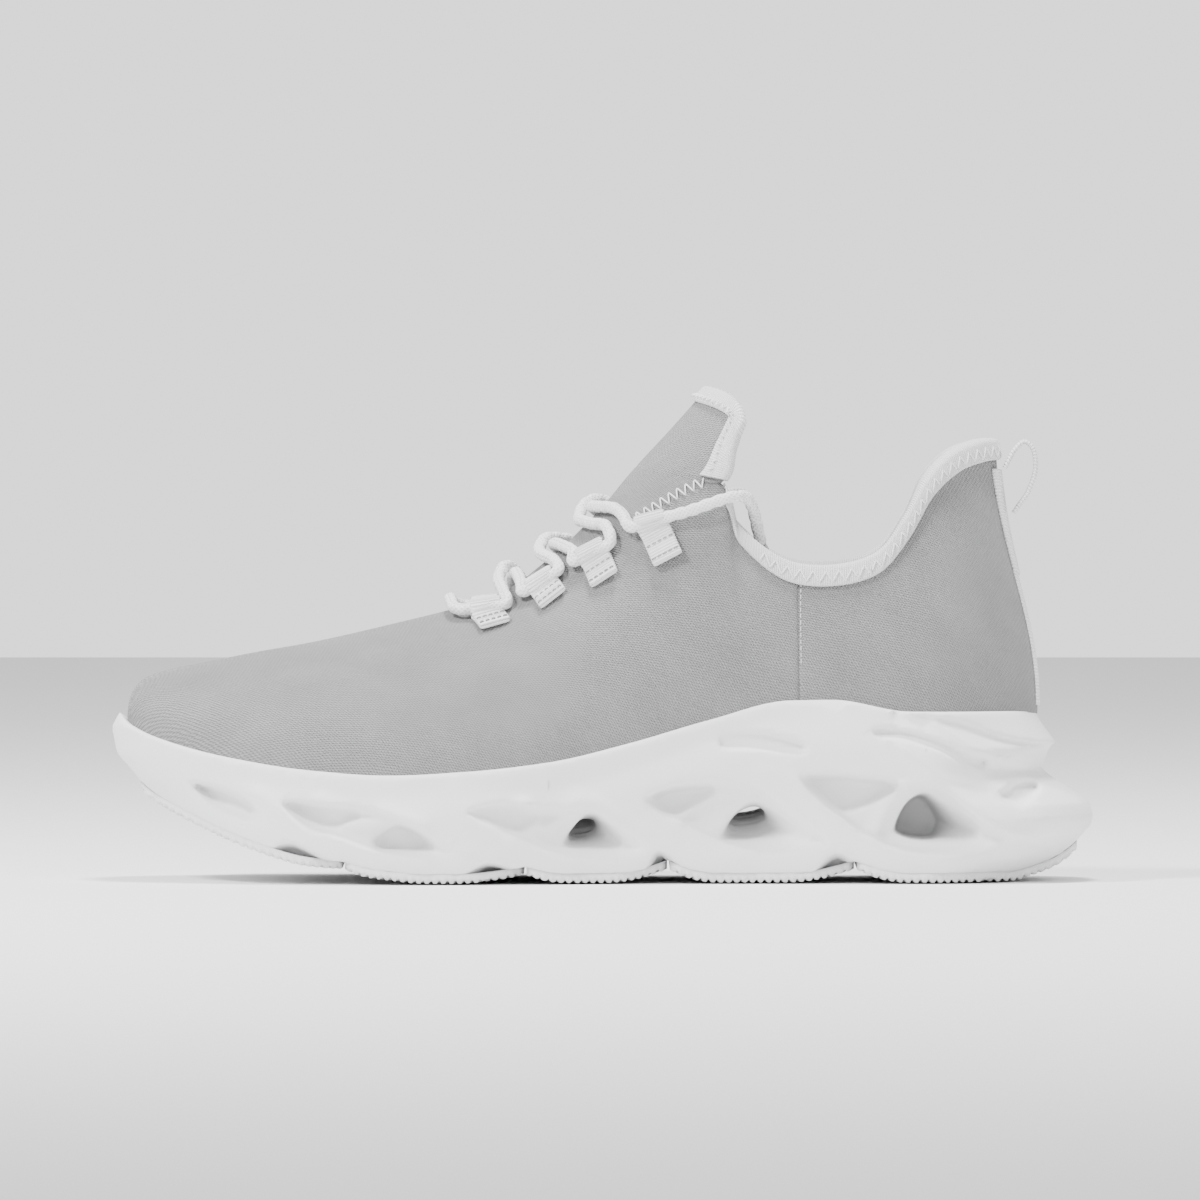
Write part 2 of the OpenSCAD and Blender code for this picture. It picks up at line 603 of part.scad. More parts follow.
// Middle of the lace, from the end tucked in at the outer side, through the webbing
// loops in a criss-cross, to the end tucked in at the inner side
lace_route = [
    [49.2, -17.8, 104], [48, -19.6, 109.5], [46.8, -22.8, 114.5], [44.5, -27.8, 118.4],
    [40, -32.3, 118.6], [34, -33, 116.8], [27.5, -32.6, 114.5],
    [21.1, -30.7, 112.7], [15.1, -29.1, 111], [9, -27.6, 109.3],
    [6.4, -22.2, 112.9], [3.5, -17.4, 115], [-1.3, -8.9, 115.3], [-3, 0.1, 115.2],
    [-2.2, 7.9, 114.3], [0.1, 14.9, 112.2], [2.1, 20.4, 108.9],
    [3, 24.9, 104], [-2.9, 23.3, 101.6], [-8.7, 21.7, 99.2],
    [-9.6, 19.2, 104], [-13.6, 15.8, 105.2], [-17.6, 10.6, 105], [-19.4, 5, 102.2],
    [-19.2, -2, 101], [-17.6, -9, 100], [-15, -15.6, 98.9],
    [-13.6, -21, 95.9], [-18.9, -19.6, 92.5], [-24.3, -18.3, 89.2],
    [-25, -13.5, 91.8], [-26, -6, 94], [-26.8, 2, 94.6], [-27.6, 10, 92.6],
    [-28.8, 16.5, 89],
    [-29.4, 21, 85.2], [-35.9, 20.7, 84.6], [-42.3, 20.5, 84],
    [-45.6, 16.5, 85], [-46.8, 9, 86.2], [-47, 0, 86.6], [-46.6, -8, 85.8],
    [-45.6, -14.5, 84.2],
    [-42.5, -17.6, 83.7], [-36, -18, 84.6], [-29.6, -18.3, 85.6],
    [-30.4, -14.4, 88.8], [-31.6, -6.5, 91.2], [-32, 0.5, 92.4], [-31.9, 5.5, 93.6],
    [-30.2, 10, 96.6], [-27.4, 14, 95.6], [-25.2, 17, 92.6],
    [-24.4, 19.1, 89.5], [-18.8, 20.4, 92.5], [-13.2, 21.7, 95.6],
    [-12.9, 17.9, 98.9], [-13.6, 12.8, 101.5], [-14.6, 7.3, 103], [-14.8, 1, 103.6],
    [-13.8, -6.2, 103.7], [-11.4, -13, 102.9], [-8.9, -19.2, 101.6],
    [-8.7, -22.6, 98.7], [-3.2, -24.6, 101.6], [2.4, -26.5, 104.4],
    [1.2, -21.6, 109.4], [-2.9, -15.1, 110.1], [-6, -7.8, 110.8], [-7, 0.4, 111],
    [-6.9, 5.4, 112.4], [-5.6, 10.2, 115.4], [-1.6, 15.6, 117.2], [4.4, 20.8, 114.8],
    [9, 24.5, 109.3], [15.2, 26, 110.9], [21.3, 27.5, 112.4],
    [27.5, 29.4, 114.5], [34, 29.8, 116.8], [40, 29.2, 118.6], [44.5, 24.9, 118.4],
    [46.8, 20.4, 114.5], [48, 17.4, 109.5], [49.2, 15.8, 104]];
lace_sides = 8;

// Tube along points: rings square to the path, turned as little as possible
function carried(normal, t) = unit(normal - t * (normal * t));
function tube_frames(p, k = 0, normal = [0, 0.3, 1]) =
    k == len(p) ? [] :
    let (t = unit(p[min(len(p) - 1, k + 1)] - p[max(0, k - 1)]), n = carried(normal, t))
    concat([[n, cross(t, n)]], tube_frames(p, k + 1, n));
module tube(p, r, sides) {
    frames = tube_frames(p);
    last = (len(p) - 1) * sides;
    polyhedron(
        [for (k = [0:len(p) - 1], i = [0:sides - 1])
            let (a = 360 * i / sides) p[k] + r * (frames[k][0] * cos(a) + frames[k][1] * sin(a))],
        concat([[for (i = [0:sides - 1]) i]], [[for (i = [sides - 1:-1:0]) last + i]],
               [for (k = [0:len(p) - 2], i = [0:sides - 1])
                   let (a = k * sides + i, b = k * sides + (i + 1) % sides)
                   each [[a, a + sides, b + sides], [a, b + sides, b]]]),
        convexity = 12);
}
module lace() {
    color(trim_white) tube(lace_route, lace_d / 2, lace_sides);
}

// Stiff tip on each end of the lace, lying inside the collar
aglet_l = 13;
aglet_r = 1.7;
aglet_lean = [4.2, 1.2, -9];
// Gap between the lace's end and its tip
aglet_gap = 0.1;
// How far a tip carries on along the lace before it leans
aglet_ahead = 0.8;
module aglet(end) {
    from = lace_route[end == 0 ? 0 : len(lace_route) - 1];
    before = lace_route[end == 0 ? 1 : len(lace_route) - 2];
    d = unit([aglet_lean.x, end == 0 ? aglet_lean.y : -aglet_lean.y, aglet_lean.z]);
    o = from + d * aglet_gap + unit(from - before) * aglet_ahead;
    x = unit(cross([0, 1, 0], d));
    y = cross(d, x);
    color(knit_grey)
    multmatrix([[x.x, y.x, d.x, o.x], [x.y, y.y, d.y, o.y], [x.z, y.z, d.z, o.z], [0, 0, 0, 1]])
    cylinder(h = aglet_l, r = aglet_r);
}

module graded() {
    scale([grade, grade, grade]) children();
}

graded() midsole();
graded() outsole_pad(0);  // outsole_toe
graded() outsole_pad(1);  // outsole_forefoot
graded() outsole_pad(2);  // outsole_midfoot
graded() outsole_pad(3);  // outsole_rearfoot
graded() outsole_pad(4);  // outsole_heel
graded() strobel_board();
graded() insole();
graded() forefoot_upper();
graded() throat_gusset();
graded() heel_upper();
graded() toe_puff();
graded() heel_counter();
graded() collar_foam();
graded() heel_lining();
graded() collar_binding();
graded() tongue_flap();
graded() tongue_binding();
graded() heel_tape();
graded() heel_pull_loop();
for (k = [0:3]) {
    graded() lace_loop(k, 0);
    graded() lace_loop(k, 1);
}
graded() lace();
graded() aglet(0);  // aglet_lateral
graded() aglet(1);  // aglet_medial
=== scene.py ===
"""Looks of a knit running shoe on a sculpted foam sole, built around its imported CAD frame.

Lengths in the tables below are millimetres in the part's own frame: toe along -X, heel
along +X, the outer side of the foot is -Y, and Z is up. A mesh is made in metres.
"""
import math

import bpy
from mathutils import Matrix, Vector
import numpy as np


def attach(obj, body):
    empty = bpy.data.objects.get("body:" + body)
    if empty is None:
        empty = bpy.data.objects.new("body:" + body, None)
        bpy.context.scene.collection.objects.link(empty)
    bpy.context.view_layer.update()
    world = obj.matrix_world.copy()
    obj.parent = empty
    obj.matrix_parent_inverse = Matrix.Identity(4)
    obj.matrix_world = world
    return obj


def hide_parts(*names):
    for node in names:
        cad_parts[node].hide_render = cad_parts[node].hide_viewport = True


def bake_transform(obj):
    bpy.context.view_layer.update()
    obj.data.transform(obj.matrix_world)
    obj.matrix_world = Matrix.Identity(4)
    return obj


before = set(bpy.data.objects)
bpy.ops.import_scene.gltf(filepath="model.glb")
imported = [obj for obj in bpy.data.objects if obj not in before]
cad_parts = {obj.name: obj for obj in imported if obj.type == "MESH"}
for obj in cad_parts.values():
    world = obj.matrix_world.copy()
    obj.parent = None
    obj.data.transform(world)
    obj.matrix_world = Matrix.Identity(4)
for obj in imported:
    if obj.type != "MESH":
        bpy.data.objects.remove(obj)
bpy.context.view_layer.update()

import openvdb

MM = 0.001
ACROSS = np.array([0.0, 1.0, 0.0])


# ---- Curves ---------------------------------------------------------------

def spline(a, b, c, d, t):
    """Catmull-Rom step from b to c."""
    return 0.5 * (2 * b + (c - a) * t + (2 * a - 5 * b + 4 * c - d) * t * t
                  + (3 * b - a - 3 * c + d) * t ** 3)


def smooth_closed(points, n=6):
    """Smooth closed outline through its points, n steps from each to the next."""
    p = np.array(points, float)
    t = np.arange(n)[:, None] / n
    turned = [np.roll(p, k, axis=0) for k in (1, 0, -1, -2)]
    return np.concatenate([spline(*[q[i] for q in turned], t) for i in range(len(p))])


def smooth_open(points, n=6):
    """Smooth line through its points, n steps from each to the next."""
    p = np.array(points, float)
    padded = np.concatenate([[2 * p[0] - p[1]], p, [2 * p[-1] - p[-2]]])
    t = np.arange(n)[:, None] / n
    steps = [spline(*padded[i:i + 4], t) for i in range(len(p) - 1)]
    return np.concatenate(steps + [p[-1:]])


def heights(keys, x):
    """Smooth height over x through (x, value) keys, with no overshoot."""
    p = np.array(keys, float)
    chord = np.diff(p[:, 1]) / np.diff(p[:, 0])
    slope = np.concatenate([chord[:1], np.zeros(len(p) - 2), chord[-1:]])
    same_way = chord[:-1] * chord[1:] > 0
    slope[1:-1][same_way] = 2 / (1 / chord[:-1][same_way] + 1 / chord[1:][same_way])
    i = np.clip(np.searchsorted(p[:, 0], x, side="right") - 1, 0, len(p) - 2)
    w = p[i + 1, 0] - p[i, 0]
    t = np.clip((x - p[i, 0]) / w, 0, 1)
    a, b, rise = slope[i] * w, slope[i + 1] * w, p[i + 1, 1] - p[i, 1]
    return p[i, 1] + a * t + (3 * rise - 2 * a - b) * t ** 2 + (a + b - 2 * rise) * t ** 3


def smoothstep(low, high, x):
    """A smooth rise from 0 at low to 1 at high. It falls where low is above high."""
    t = np.clip((x - low) / (high - low), 0, 1)
    return t * t * (3 - 2 * t)


def bezier_weights(t):
    """The shares of a curve's four control points at t, along a new last axis."""
    return np.stack([(1 - t) ** 3, 3 * t * (1 - t) ** 2, 3 * t * t * (1 - t), t ** 3], axis=-1)


def unit(v):
    """Vectors scaled to length 1."""
    return v / np.maximum(np.linalg.norm(v, axis=-1, keepdims=True), 1e-12)


def averaged(values, width):
    """A moving average of a row of values, over an odd number of them."""
    return np.convolve(np.pad(values, width // 2, mode="edge"), np.ones(width) / width, "valid")


def lengths_along(line):
    """The length from a line's start to each of its points."""
    return np.concatenate([[0], np.cumsum(np.linalg.norm(np.diff(line, axis=0), axis=1))])


def picked(line, along, at):
    """Points of a line at given lengths, where along is the length at each of its points."""
    return np.stack([np.interp(at, along, column) for column in line.T], axis=1)


def resampled(line, count):
    """The line again, with count points evenly apart."""
    along = lengths_along(line)
    return picked(line, along, np.linspace(0, along[-1], count))


# ---- Meshes ---------------------------------------------------------------

def make_mesh(name, points, faces, material, uv=None):
    """An object from points in millimetres, with one UV per point if uv is given."""
    mesh = bpy.data.meshes.new(name)
    mesh.from_pydata((np.asarray(points, float) * MM).tolist(), [], [list(f) for f in faces])
    if uv is not None:
        layer = mesh.uv_layers.new(name="Weave")
        corner = np.zeros(len(mesh.loops), np.int32)
        mesh.loops.foreach_get("vertex_index", corner)
        layer.data.foreach_set("uv", np.asarray(uv, np.float32)[corner].ravel())
    mesh.validate()
    mesh.polygons.foreach_set("use_smooth", [True] * len(mesh.polygons))
    mesh.materials.append(material)
    piece = bpy.data.objects.new(name, mesh)
    bpy.context.scene.collection.objects.link(piece)
    return piece


def settle(piece, body, slot, *nodes):
    """The piece rides on a body and stands for the nodes, whose CAD parts it hides. slot is not
    used.
    """
    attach(piece, body)
    if nodes:
        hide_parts(*nodes)
    return piece


def grid_faces(rows, columns, first=0, closed=False, flip=False):
    """Quads between the points of a grid, as indices. Closed joins the last column to the first."""
    j, i = np.meshgrid(np.arange(rows - 1), np.arange(columns if closed else columns - 1),
                       indexing="ij")
    k = (i + 1) % columns
    quads = np.stack([j * columns + i, j * columns + k, (j + 1) * columns + k,
                      (j + 1) * columns + i], axis=-1).reshape(-1, 4) + first
    return quads[:, ::-1] if flip else quads


def tube_faces(rows, sides, first=0, flip=True):
    """Faces of a closed tube of rings, with a flat face on each end."""
    ends = [list(range(first, first + sides)),
            list(range(first + (rows - 1) * sides, first + rows * sides))]
    ends[1 if flip else 0].reverse()
    return grid_faces(rows, sides, first, closed=True, flip=flip).tolist() + ends


def turns(count):
    """Angles evenly round a full turn."""
    return 2 * math.pi * np.arange(count) / count


def rings_round(centre, side, up, turn, radius):
    """Rings of points round a line of centres, at each turn from side towards up."""
    spokes = (side[:, None] * np.cos(turn)[None, :, None]
              + up[:, None] * np.sin(turn)[None, :, None])
    return centre[:, None] + radius * spokes


def measured_uv(grid):
    """UV in millimetres along a grid's rows and columns, measured from its middle column."""
    rows, columns, _ = grid.shape
    u = np.concatenate([[0], np.cumsum(np.linalg.norm(np.diff(grid, axis=0), axis=2).mean(1))])
    v = np.concatenate([np.zeros((rows, 1)),
                        np.cumsum(np.linalg.norm(np.diff(grid, axis=1), axis=2), axis=1)], axis=1)
    v -= v[:, columns // 2][:, None]
    return np.stack([np.repeat(u[:, None], columns, 1), v], axis=-1).reshape(-1, 2)


def draped_uv(grid):
    """UV in millimetres along the shoe and up its sides, for the forefoot and heel knits."""
    x, y, z = grid.reshape(-1, 3).T
    return np.stack([x + 0.5 * y, z - np.hypot(y, 4.0)], axis=-1)


def shell(name, outer, inner, material, keep=None, weld_first=False, uv_of=measured_uv):
    """A closed sheet between an outer and an inner grid, over the cells that keep names.

    weld_first joins the two halves of the first row, where the sheet closes at the toe.
    """
    rows, columns, _ = outer.shape
    keep = np.ones((rows - 1, columns - 1), bool) if keep is None else keep
    n = rows * columns
    index = np.arange(n).reshape(rows, columns)
    if weld_first:
        half = columns // 2
        index[0, half + 1:] = index[0, :half][::-1]
    a, b, c, d = index[:-1, :-1], index[1:, :-1], index[1:, 1:], index[:-1, 1:]
    quads = [np.stack([a, b, c, d], -1)[keep], np.stack([d, c, b, a], -1)[keep] + n]
    padded = np.pad(keep, 1)
    for near, p, q in ((padded[1:-1, :-2], a, b), (padded[2:, 1:-1], b, c),
                       (padded[1:-1, 2:], c, d), (padded[:-2, 1:-1], d, a)):
        edge = keep & ~near
        if weld_first and p is d:
            edge[0] = False
        quads.append(np.stack([q, p, p + n, q + n], -1)[edge])
    faces = [list(dict.fromkeys(f)) for f in np.concatenate(quads).tolist()]
    faces = [f for f in faces if len(f) > 2]
    uv = uv_of(outer)
    points = np.concatenate([outer.reshape(-1, 3), inner.reshape(-1, 3)])
    used = np.unique(np.concatenate([np.array(f) for f in faces]))
    place = np.zeros(len(points), int)
    place[used] = np.arange(len(used))
    faces = [[int(place[k]) for k in f] for f in faces]
    return make_mesh(name, points[used], faces, material, np.concatenate([uv, uv])[used])


# ---- Materials ------------------------------------------------------------

class Nodes:
    """A material's node tree, with short calls to add to it."""

    def __init__(self, name, roughness, sheen=0.0, specular=0.5):
        self.material = bpy.data.materials.new(name)
        self.material.use_nodes = True
        self.tree = self.material.node_tree
        self.shader = self.tree.nodes["Principled BSDF"]
        self.shader.inputs["Roughness"].default_value = roughness
        self.shader.inputs["Sheen Weight"].default_value = sheen
        self.shader.inputs["Specular IOR Level"].default_value = specular

    def add(self, kind, links=(), **values):
        """A node, with its inputs linked or set by name or number."""
        node = self.tree.nodes.new(kind)
        for key, value in values.items():
            setattr(node, key, value)
        for socket, source in dict(links).items():
            target = node.inputs[socket]
            if isinstance(source, bpy.types.NodeSocket):
                self.tree.links.new(source, target)
            else:
                target.default_value = source
        return node

    def math(self, operation, a, b=0.0, c=0.0):
        """A sum on up to three values."""
        links = {0: a, 1: b, 2: c}
        return self.add("ShaderNodeMath", links, operation=operation).outputs[0]

    def place(self):
        """The object's own coordinates."""
        return self.add("ShaderNodeTexCoord").outputs["Object"]

    def weave(self):
        """The weave's UV in millimetres, whole and as its two lengths."""
        uv = self.add("ShaderNodeUVMap", uv_map="Weave").outputs[0]
        split = self.add("ShaderNodeSeparateXYZ", {0: uv})
        return uv, split.outputs[0], split.outputs[1]

    def wave(self, value, pitch):
        """A sine of a length, from 0 to 1, that repeats every pitch."""
        turned = self.math("MULTIPLY", value, 2 * math.pi / pitch)
        return self.math("MULTIPLY_ADD", self.math("SINE", turned), 0.5, 0.5)

    def noise(self, vector, scale, detail=3.0):
        """Cloudy noise from 0 to 1."""
        links = {"Vector": vector, "Scale": scale, "Detail": detail}
        return self.add("ShaderNodeTexNoise", links).outputs["Fac"]

    def colour(self, factor, dark, light):
        """The base colour, mixed from a dark and a light tone."""
        links = {0: factor, 6: (*dark, 1), 7: (*light, 1)}
        mixed = self.add("ShaderNodeMix", links, data_type="RGBA").outputs[2]
        self.tree.links.new(mixed, self.shader.inputs["Base Color"])

    def bump(self, height, strength, distance_mm):
        """Fine relief in the shading only."""
        node = self.add("ShaderNodeBump", {"Height": height})
        node.inputs["Strength"].default_value = strength
        node.inputs["Distance"].default_value = distance_mm * MM
        self.tree.links.new(node.outputs[0], self.shader.inputs["Normal"])

    def roughness(self, factor, low, high):
        """Roughness that varies between two values."""
        value = self.math("MULTIPLY_ADD", factor, high - low, low)
        self.tree.links.new(value, self.shader.inputs["Roughness"])


def foam_material():
    """Moulded foam: a fine stipple, with painted shade that darkens it where a recess is deep."""
    m = Nodes("foam", 0.62, specular=0.35)
    place = m.place()
    stipple = m.noise(place, 1400, 2)
    cloud = m.noise(place, 22, 3)
    # painted shade: the attribute read here darkens the foam in the pits, windows and gaps under
    # the pods
    depth = m.add("ShaderNodeAttribute", attribute_name="Depth").outputs["Fac"]
    tone = m.math("MULTIPLY", m.math("MULTIPLY_ADD", cloud, 0.14, 0.84),
                  m.math("SUBTRACT", 1.0, depth))
    m.colour(tone, (0.30, 0.30, 0.305), (0.90, 0.90, 0.905))
    m.bump(stipple, 0.22, 0.25)
    m.roughness(stipple, 0.52, 0.72)
    return m.material


def knit_material():
    """Diagonal ribs of loops over a finer cross grain, in a heathered grey."""
    m = Nodes("knit", 0.9, sheen=0.15, specular=0.2)
    uv, u, v = m.weave()
    wobble = m.math("MULTIPLY", m.noise(uv, 0.35, 2), 0.8)
    rising = m.math("ADD", m.math("MULTIPLY_ADD", u, 0.86, wobble), m.math("MULTIPLY", v, 0.5))
    falling = m.math("ADD", m.math("MULTIPLY_ADD", u, 0.17, wobble), m.math("MULTIPLY", v, 0.98))
    rib = m.wave(rising, 0.78)
    loop = m.wave(m.math("MULTIPLY_ADD", rib, 0.25, falling), 0.86)
    fibre = m.noise(uv, 3.2, 3)
    cell = m.math("MULTIPLY_ADD", loop, 0.45, m.math("MULTIPLY", rib, 0.55))
    height = m.math("MULTIPLY_ADD", fibre, 0.35, cell)
    tone = m.math("MULTIPLY_ADD", m.noise(uv, 0.05, 3), 0.35, m.math("MULTIPLY", height, 0.62))
    m.colour(tone, (0.105, 0.105, 0.107), (0.385, 0.385, 0.388))
    m.bump(height, 1.0, 0.45)
    return m.material


KNIT = knit_material()
FOAM = foam_material()


# ---- The upper's surface --------------------------------------------------
#
# It is lofted round the foot: station 0 is the toe and station 19 the heel, and stations
# 19 to 38 return along the inner side. At each a side curve climbs from the footbed to
# the seam or collar, and a crown curve carries on to the ridge of the foot.

BOARD = 1.5
FOOTBED = [  # x, height of the foam under the board
    (-150, 41), (-130, 35.5), (-110, 30.5), (-90, 27), (-60, 25), (-30, 26), (0, 30),
    (30, 35), (60, 39), (90, 40), (140, 40)]


def foot(x):
    """Height at x of the top of the board, where the upper starts."""
    return heights(FOOTBED, x) + BOARD


def closed_station(b, p1, p2, r, inner):
    """One curve from footbed to ridge, split in a side and a crown."""
    b0, p1, p2, r = (np.array(p, float) for p in ((*b, foot(b[0])), p1, p2, r))
    t = 0.8
    q0, q1, q2 = b0 + (p1 - b0) * t, p1 + (p2 - p1) * t, p2 + (r - p2) * t
    s0, s1 = q0 + (q1 - q0) * t, q1 + (q2 - q1) * t
    return [b0, q0, s0, s0 + (s1 - s0) * t, s1, q2, r], inner


def open_station(b, *rest):
    """A side curve to the seam and a crown curve to the ridge, with all their points given."""
    return [(*b, foot(b[0])), *rest[:-1]], rest[-1]


def collar_station(b, p1, p2, s, inner):
    """A side curve up to the collar, with no crown."""
    return [(*b, foot(b[0])), p1, p2, s, s, s, s], inner


STATIONS = [
    closed_station((-147, 6), (-148.5, 6, 62), (-144, 6, 62.5), (-128, 6, 66), 1),
    closed_station((-144, -8), (-146, -9, 60), (-141, -5, 63), (-125, 5.8, 66.6), 0.96),
    closed_station((-134, -21.5), (-135.5, -23.5, 58), (-130, -16, 65.4),
                   (-117, 5.5, 68.2), 0.92),
    closed_station((-118, -33.5), (-119, -36, 56), (-113, -24, 68.9), (-105, 5, 70.6), 0.88),
    closed_station((-97, -43), (-97.5, -46, 55), (-93, -29, 72.6), (-88, 4.5, 73.7), 0.86),
    closed_station((-72, -48.5), (-72, -52, 54), (-69, -32, 78), (-66, 4, 78.7), 0.86),
    closed_station((-46, -49), (-46, -52, 56), (-44, -30, 84), (-43, 3, 84.4), 0.87),
    open_station((-22, -46), (-22, -49, 60), (-27, -30, 80), (-28, -13, 86),
                 (-28.5, -8, 88.5), (-29, -4, 90), (-29, 2, 90), 0.88),
    open_station((0, -42), (-1, -45, 70), (-6, -31, 88), (-8, -18.5, 98.5),
                 (-11, -13, 101), (-14, -7, 101.5), (-14, 1, 101.5), 0.88),
    open_station((20, -38.8), (19, -41.5, 75), (14, -33, 98), (12, -23.5, 112),
                 (5, -18.8, 113.5), (-2, -10, 113.2), (-2, 0, 113.2), 0.88),
    open_station((35, -37), (36, -39.5, 78), (36, -34, 104), (35.5, -27.5, 122.5),
                 (22, -23, 124.5), (10, -14, 127), (10, 0, 127), 0.9),
    open_station((46, -36), (45, -38.5, 76), (43, -34.9, 94), (42, -28.8, 109.5),
                 (32, -22, 136), (22, -14, 140), (22, 0, 140), 0.92),
    collar_station((57, -35.3), (57, -38.3, 72), (55, -34.6, 86), (56, -30.5, 98.6), 0.93),
    collar_station((70, -35), (70, -38, 70), (71, -33.6, 84), (71, -30.5, 96.6), 0.94),
    collar_station((88, -34.3), (88, -37, 72), (86, -31, 86), (85, -29, 100.5), 0.95),
    collar_station((104, -32.3), (105, -35.5, 74), (97, -28, 92), (94, -26.5, 111.5), 0.96),
    collar_station((116, -28), (118, -31.5, 76), (105, -24, 98), (101, -23, 124), 0.97),
    collar_station((126, -20), (129, -22.5, 78), (114, -17.5, 100), (109, -17, 131.5), 0.98),
    collar_station((132.2, -10.5), (136, -12, 78), (121.5, -9, 98), (117, -8.8, 134.5), 0.99),
    collar_station((134.3, 0), (138.5, 0, 78), (124, 0, 92), (122, 0, 135), 1)]
HEEL = len(STATIONS) - 1
AROUND = 2 * HEEL


def all_nets():
    """Control points of every station, with the inner side mirrored and narrowed."""
    nets = [np.array(points, float) for points, _ in STATIONS]
    for k in range(HEEL - 1, 0, -1):
        net, width = nets[k].copy(), STATIONS[k][1]
        ridge = net[6, 1] * (k <= 11)
        net[:, 1] = ridge + (ridge - net[:, 1]) * width
        nets.append(net)
    return np.array(nets)


NETS = all_nets()


def nets_at(s):
    """The seven control points at each station s, shaped (len(s), 7, 3)."""
    s = np.atleast_1d(np.asarray(s, float))
    k = np.floor(s).astype(int)
    t = (s - k)[:, None, None]
    return spline(*[NETS[(k + i) % AROUND] for i in (-1, 0, 1, 2)], t)


def on_nets(nets, q):
    """Points of the stations' curves at each q, shaped (stations, len(q), 3)."""
    q = np.asarray(q, float)
    side = q <= 1
    w = bezier_weights(np.where(side, q, q - 1))
    low = np.einsum("qc,scx->sqx", w, nets[:, 0:4])
    high = np.einsum("qc,scx->sqx", w, nets[:, 3:7])
    return np.where(side[None, :, None], low, high)


STEP = 0.02


def upper_surface(s, q, depth=0.0):
    """The upper's surface moved in by a depth, as a grid over stations s and heights q."""
    s, q = np.asarray(s, float), np.asarray(q, float)
    nets = nets_at(s)
    q0 = np.clip(q - STEP / 2, 0, 2 - STEP)
    along = on_nets(nets_at(s + STEP), q) - on_nets(nets_at(s - STEP), q)
    up = on_nets(nets, q0 + STEP) - on_nets(nets, q0)
    normal = unit(np.cross(along, up))
    return on_nets(nets, q) - normal * np.broadcast_to(np.asarray(depth, float),
                                                       (len(s), len(q)))[..., None]


def hoops(s, q, depth=0.0):
    """Rows from the outer side over the crown and down the inner side."""
    outer = upper_surface(s, q, depth)
    inner = upper_surface(AROUND - np.asarray(s), q, depth)
    return np.concatenate([outer, inner[:, -2::-1]], axis=1)


KNIT_T = 2.0
SIDE_Q = np.linspace(0, 1, 49)
CROWN_Q = np.linspace(1, 2, 17)
THROAT_START = 6.4
THROAT_END = 10.0
PANEL_SEAM = 12 + 1 / 3
SEAM_DIP = 0.45
NOSE = (-127, 5.5, 65)
NOSE_REACH = 17
NOSE_ROUNDS = 40


def seam_depth(s, q):
    """How far the knit dips beside the seam behind the arch."""
    away = np.minimum(np.abs(s - PANEL_SEAM), np.abs(AROUND - s - PANEL_SEAM))
    return (SEAM_DIP * np.exp(-(away / 0.05) ** 2))[:, None] + 0 * q[None, :]


def soften_ridge(grid, share):
    """Rounds the line where the two sides meet on top of the toes."""
    middle = grid.shape[1] // 2
    away = np.abs(np.arange(grid.shape[1]) - middle)
    weight = (smoothstep(14, 2, away)[None, :] * share[:, None])[:, 1:-1, None] * 0.5
    for _ in range(60):
        mean = (grid[:, :-2] + grid[:, 2:]) / 2
        grid[:, 1:-1] += weight * (mean - grid[:, 1:-1])


def ease(piece, centre, reach, rounds):
    """Evens out a piece round a point, by moving each vertex towards its neighbours."""
    mesh = piece.data
    points = np.zeros(len(mesh.vertices) * 3)
    mesh.vertices.foreach_get("co", points)
    points = points.reshape(-1, 3)
    edges = np.zeros(len(mesh.edges) * 2, np.int32)
    mesh.edges.foreach_get("vertices", edges)
    a, b = edges.reshape(-1, 2).T
    away = np.linalg.norm(points / MM - centre, axis=1)
    weight = 0.6 * smoothstep(reach, reach * 0.4, away)[:, None]
    near = (weight[a, 0] > 0) & (weight[b, 0] > 0)
    a, b = a[near], b[near]
    count = np.bincount(np.r_[a, b], minlength=len(points))[:, None]
    weight *= (count > 3)  # the sheet's rim stays
    for _ in range(rounds):
        total = np.zeros_like(points)
        np.add.at(total, a, points[b])
        np.add.at(total, b, points[a])
        points += weight * (total / np.maximum(count, 1) - points)
    mesh.vertices.foreach_set("co", points.ravel())
    mesh.update()


def forefoot_knit():
    """The knit of the toes, vamp and quarters, open at the throat."""
    s = np.concatenate([np.linspace(0, 1, 25), np.linspace(1, THROAT_START, 76)[1:],
                        np.linspace(THROAT_START, THROAT_END, 48)[1:],
                        np.linspace(THROAT_END, PANEL_SEAM, 44)[1:]])
    q = np.concatenate([SIDE_Q, CROWN_Q[1:]])
    dip = seam_depth(s, q)
    dip = np.concatenate([dip, dip[:, -2::-1]], axis=1)
    outer, inner = hoops(s, q, dip[:, :len(q)]), hoops(s, q, KNIT_T)
    columns = outer.shape[1]
    for grid in (outer, inner):
        soften_ridge(grid, smoothstep(THROAT_START, 4, s))
    j, i = np.meshgrid(np.arange(len(s) - 1), np.arange(columns - 1), indexing="ij")
    side = len(SIDE_Q) - 1
    keep = (s[:-1][j] < THROAT_START - 1e-6) | (i < side) | (i >= columns - 1 - side)
    piece = shell("forefoot_knit", outer, inner, KNIT, keep, True, draped_uv)
    ease(piece, NOSE, NOSE_REACH, NOSE_ROUNDS)
    return piece


def heel_knit():
    """The knit behind the panel seam, round the heel."""
    s = np.linspace(PANEL_SEAM, AROUND - PANEL_SEAM, 190)
    outer = upper_surface(s, SIDE_Q, seam_depth(s, SIDE_Q))
    inner = upper_surface(s, SIDE_Q, KNIT_T)
    return shell("heel_knit", outer, inner, KNIT, uv_of=draped_uv)


def gusset_knit():
    """The knit under the laces, between the two rows of loops."""
    s = np.linspace(THROAT_START - 0.1, THROAT_END + 0.02, 56)
    q = np.linspace(0.995, 2, 25)
    sunk = 0.25 * smoothstep(9.9, 9.2, s)[:, None]
    return shell("gusset_knit", hoops(s, q, sunk), hoops(s, q, KNIT_T), KNIT)


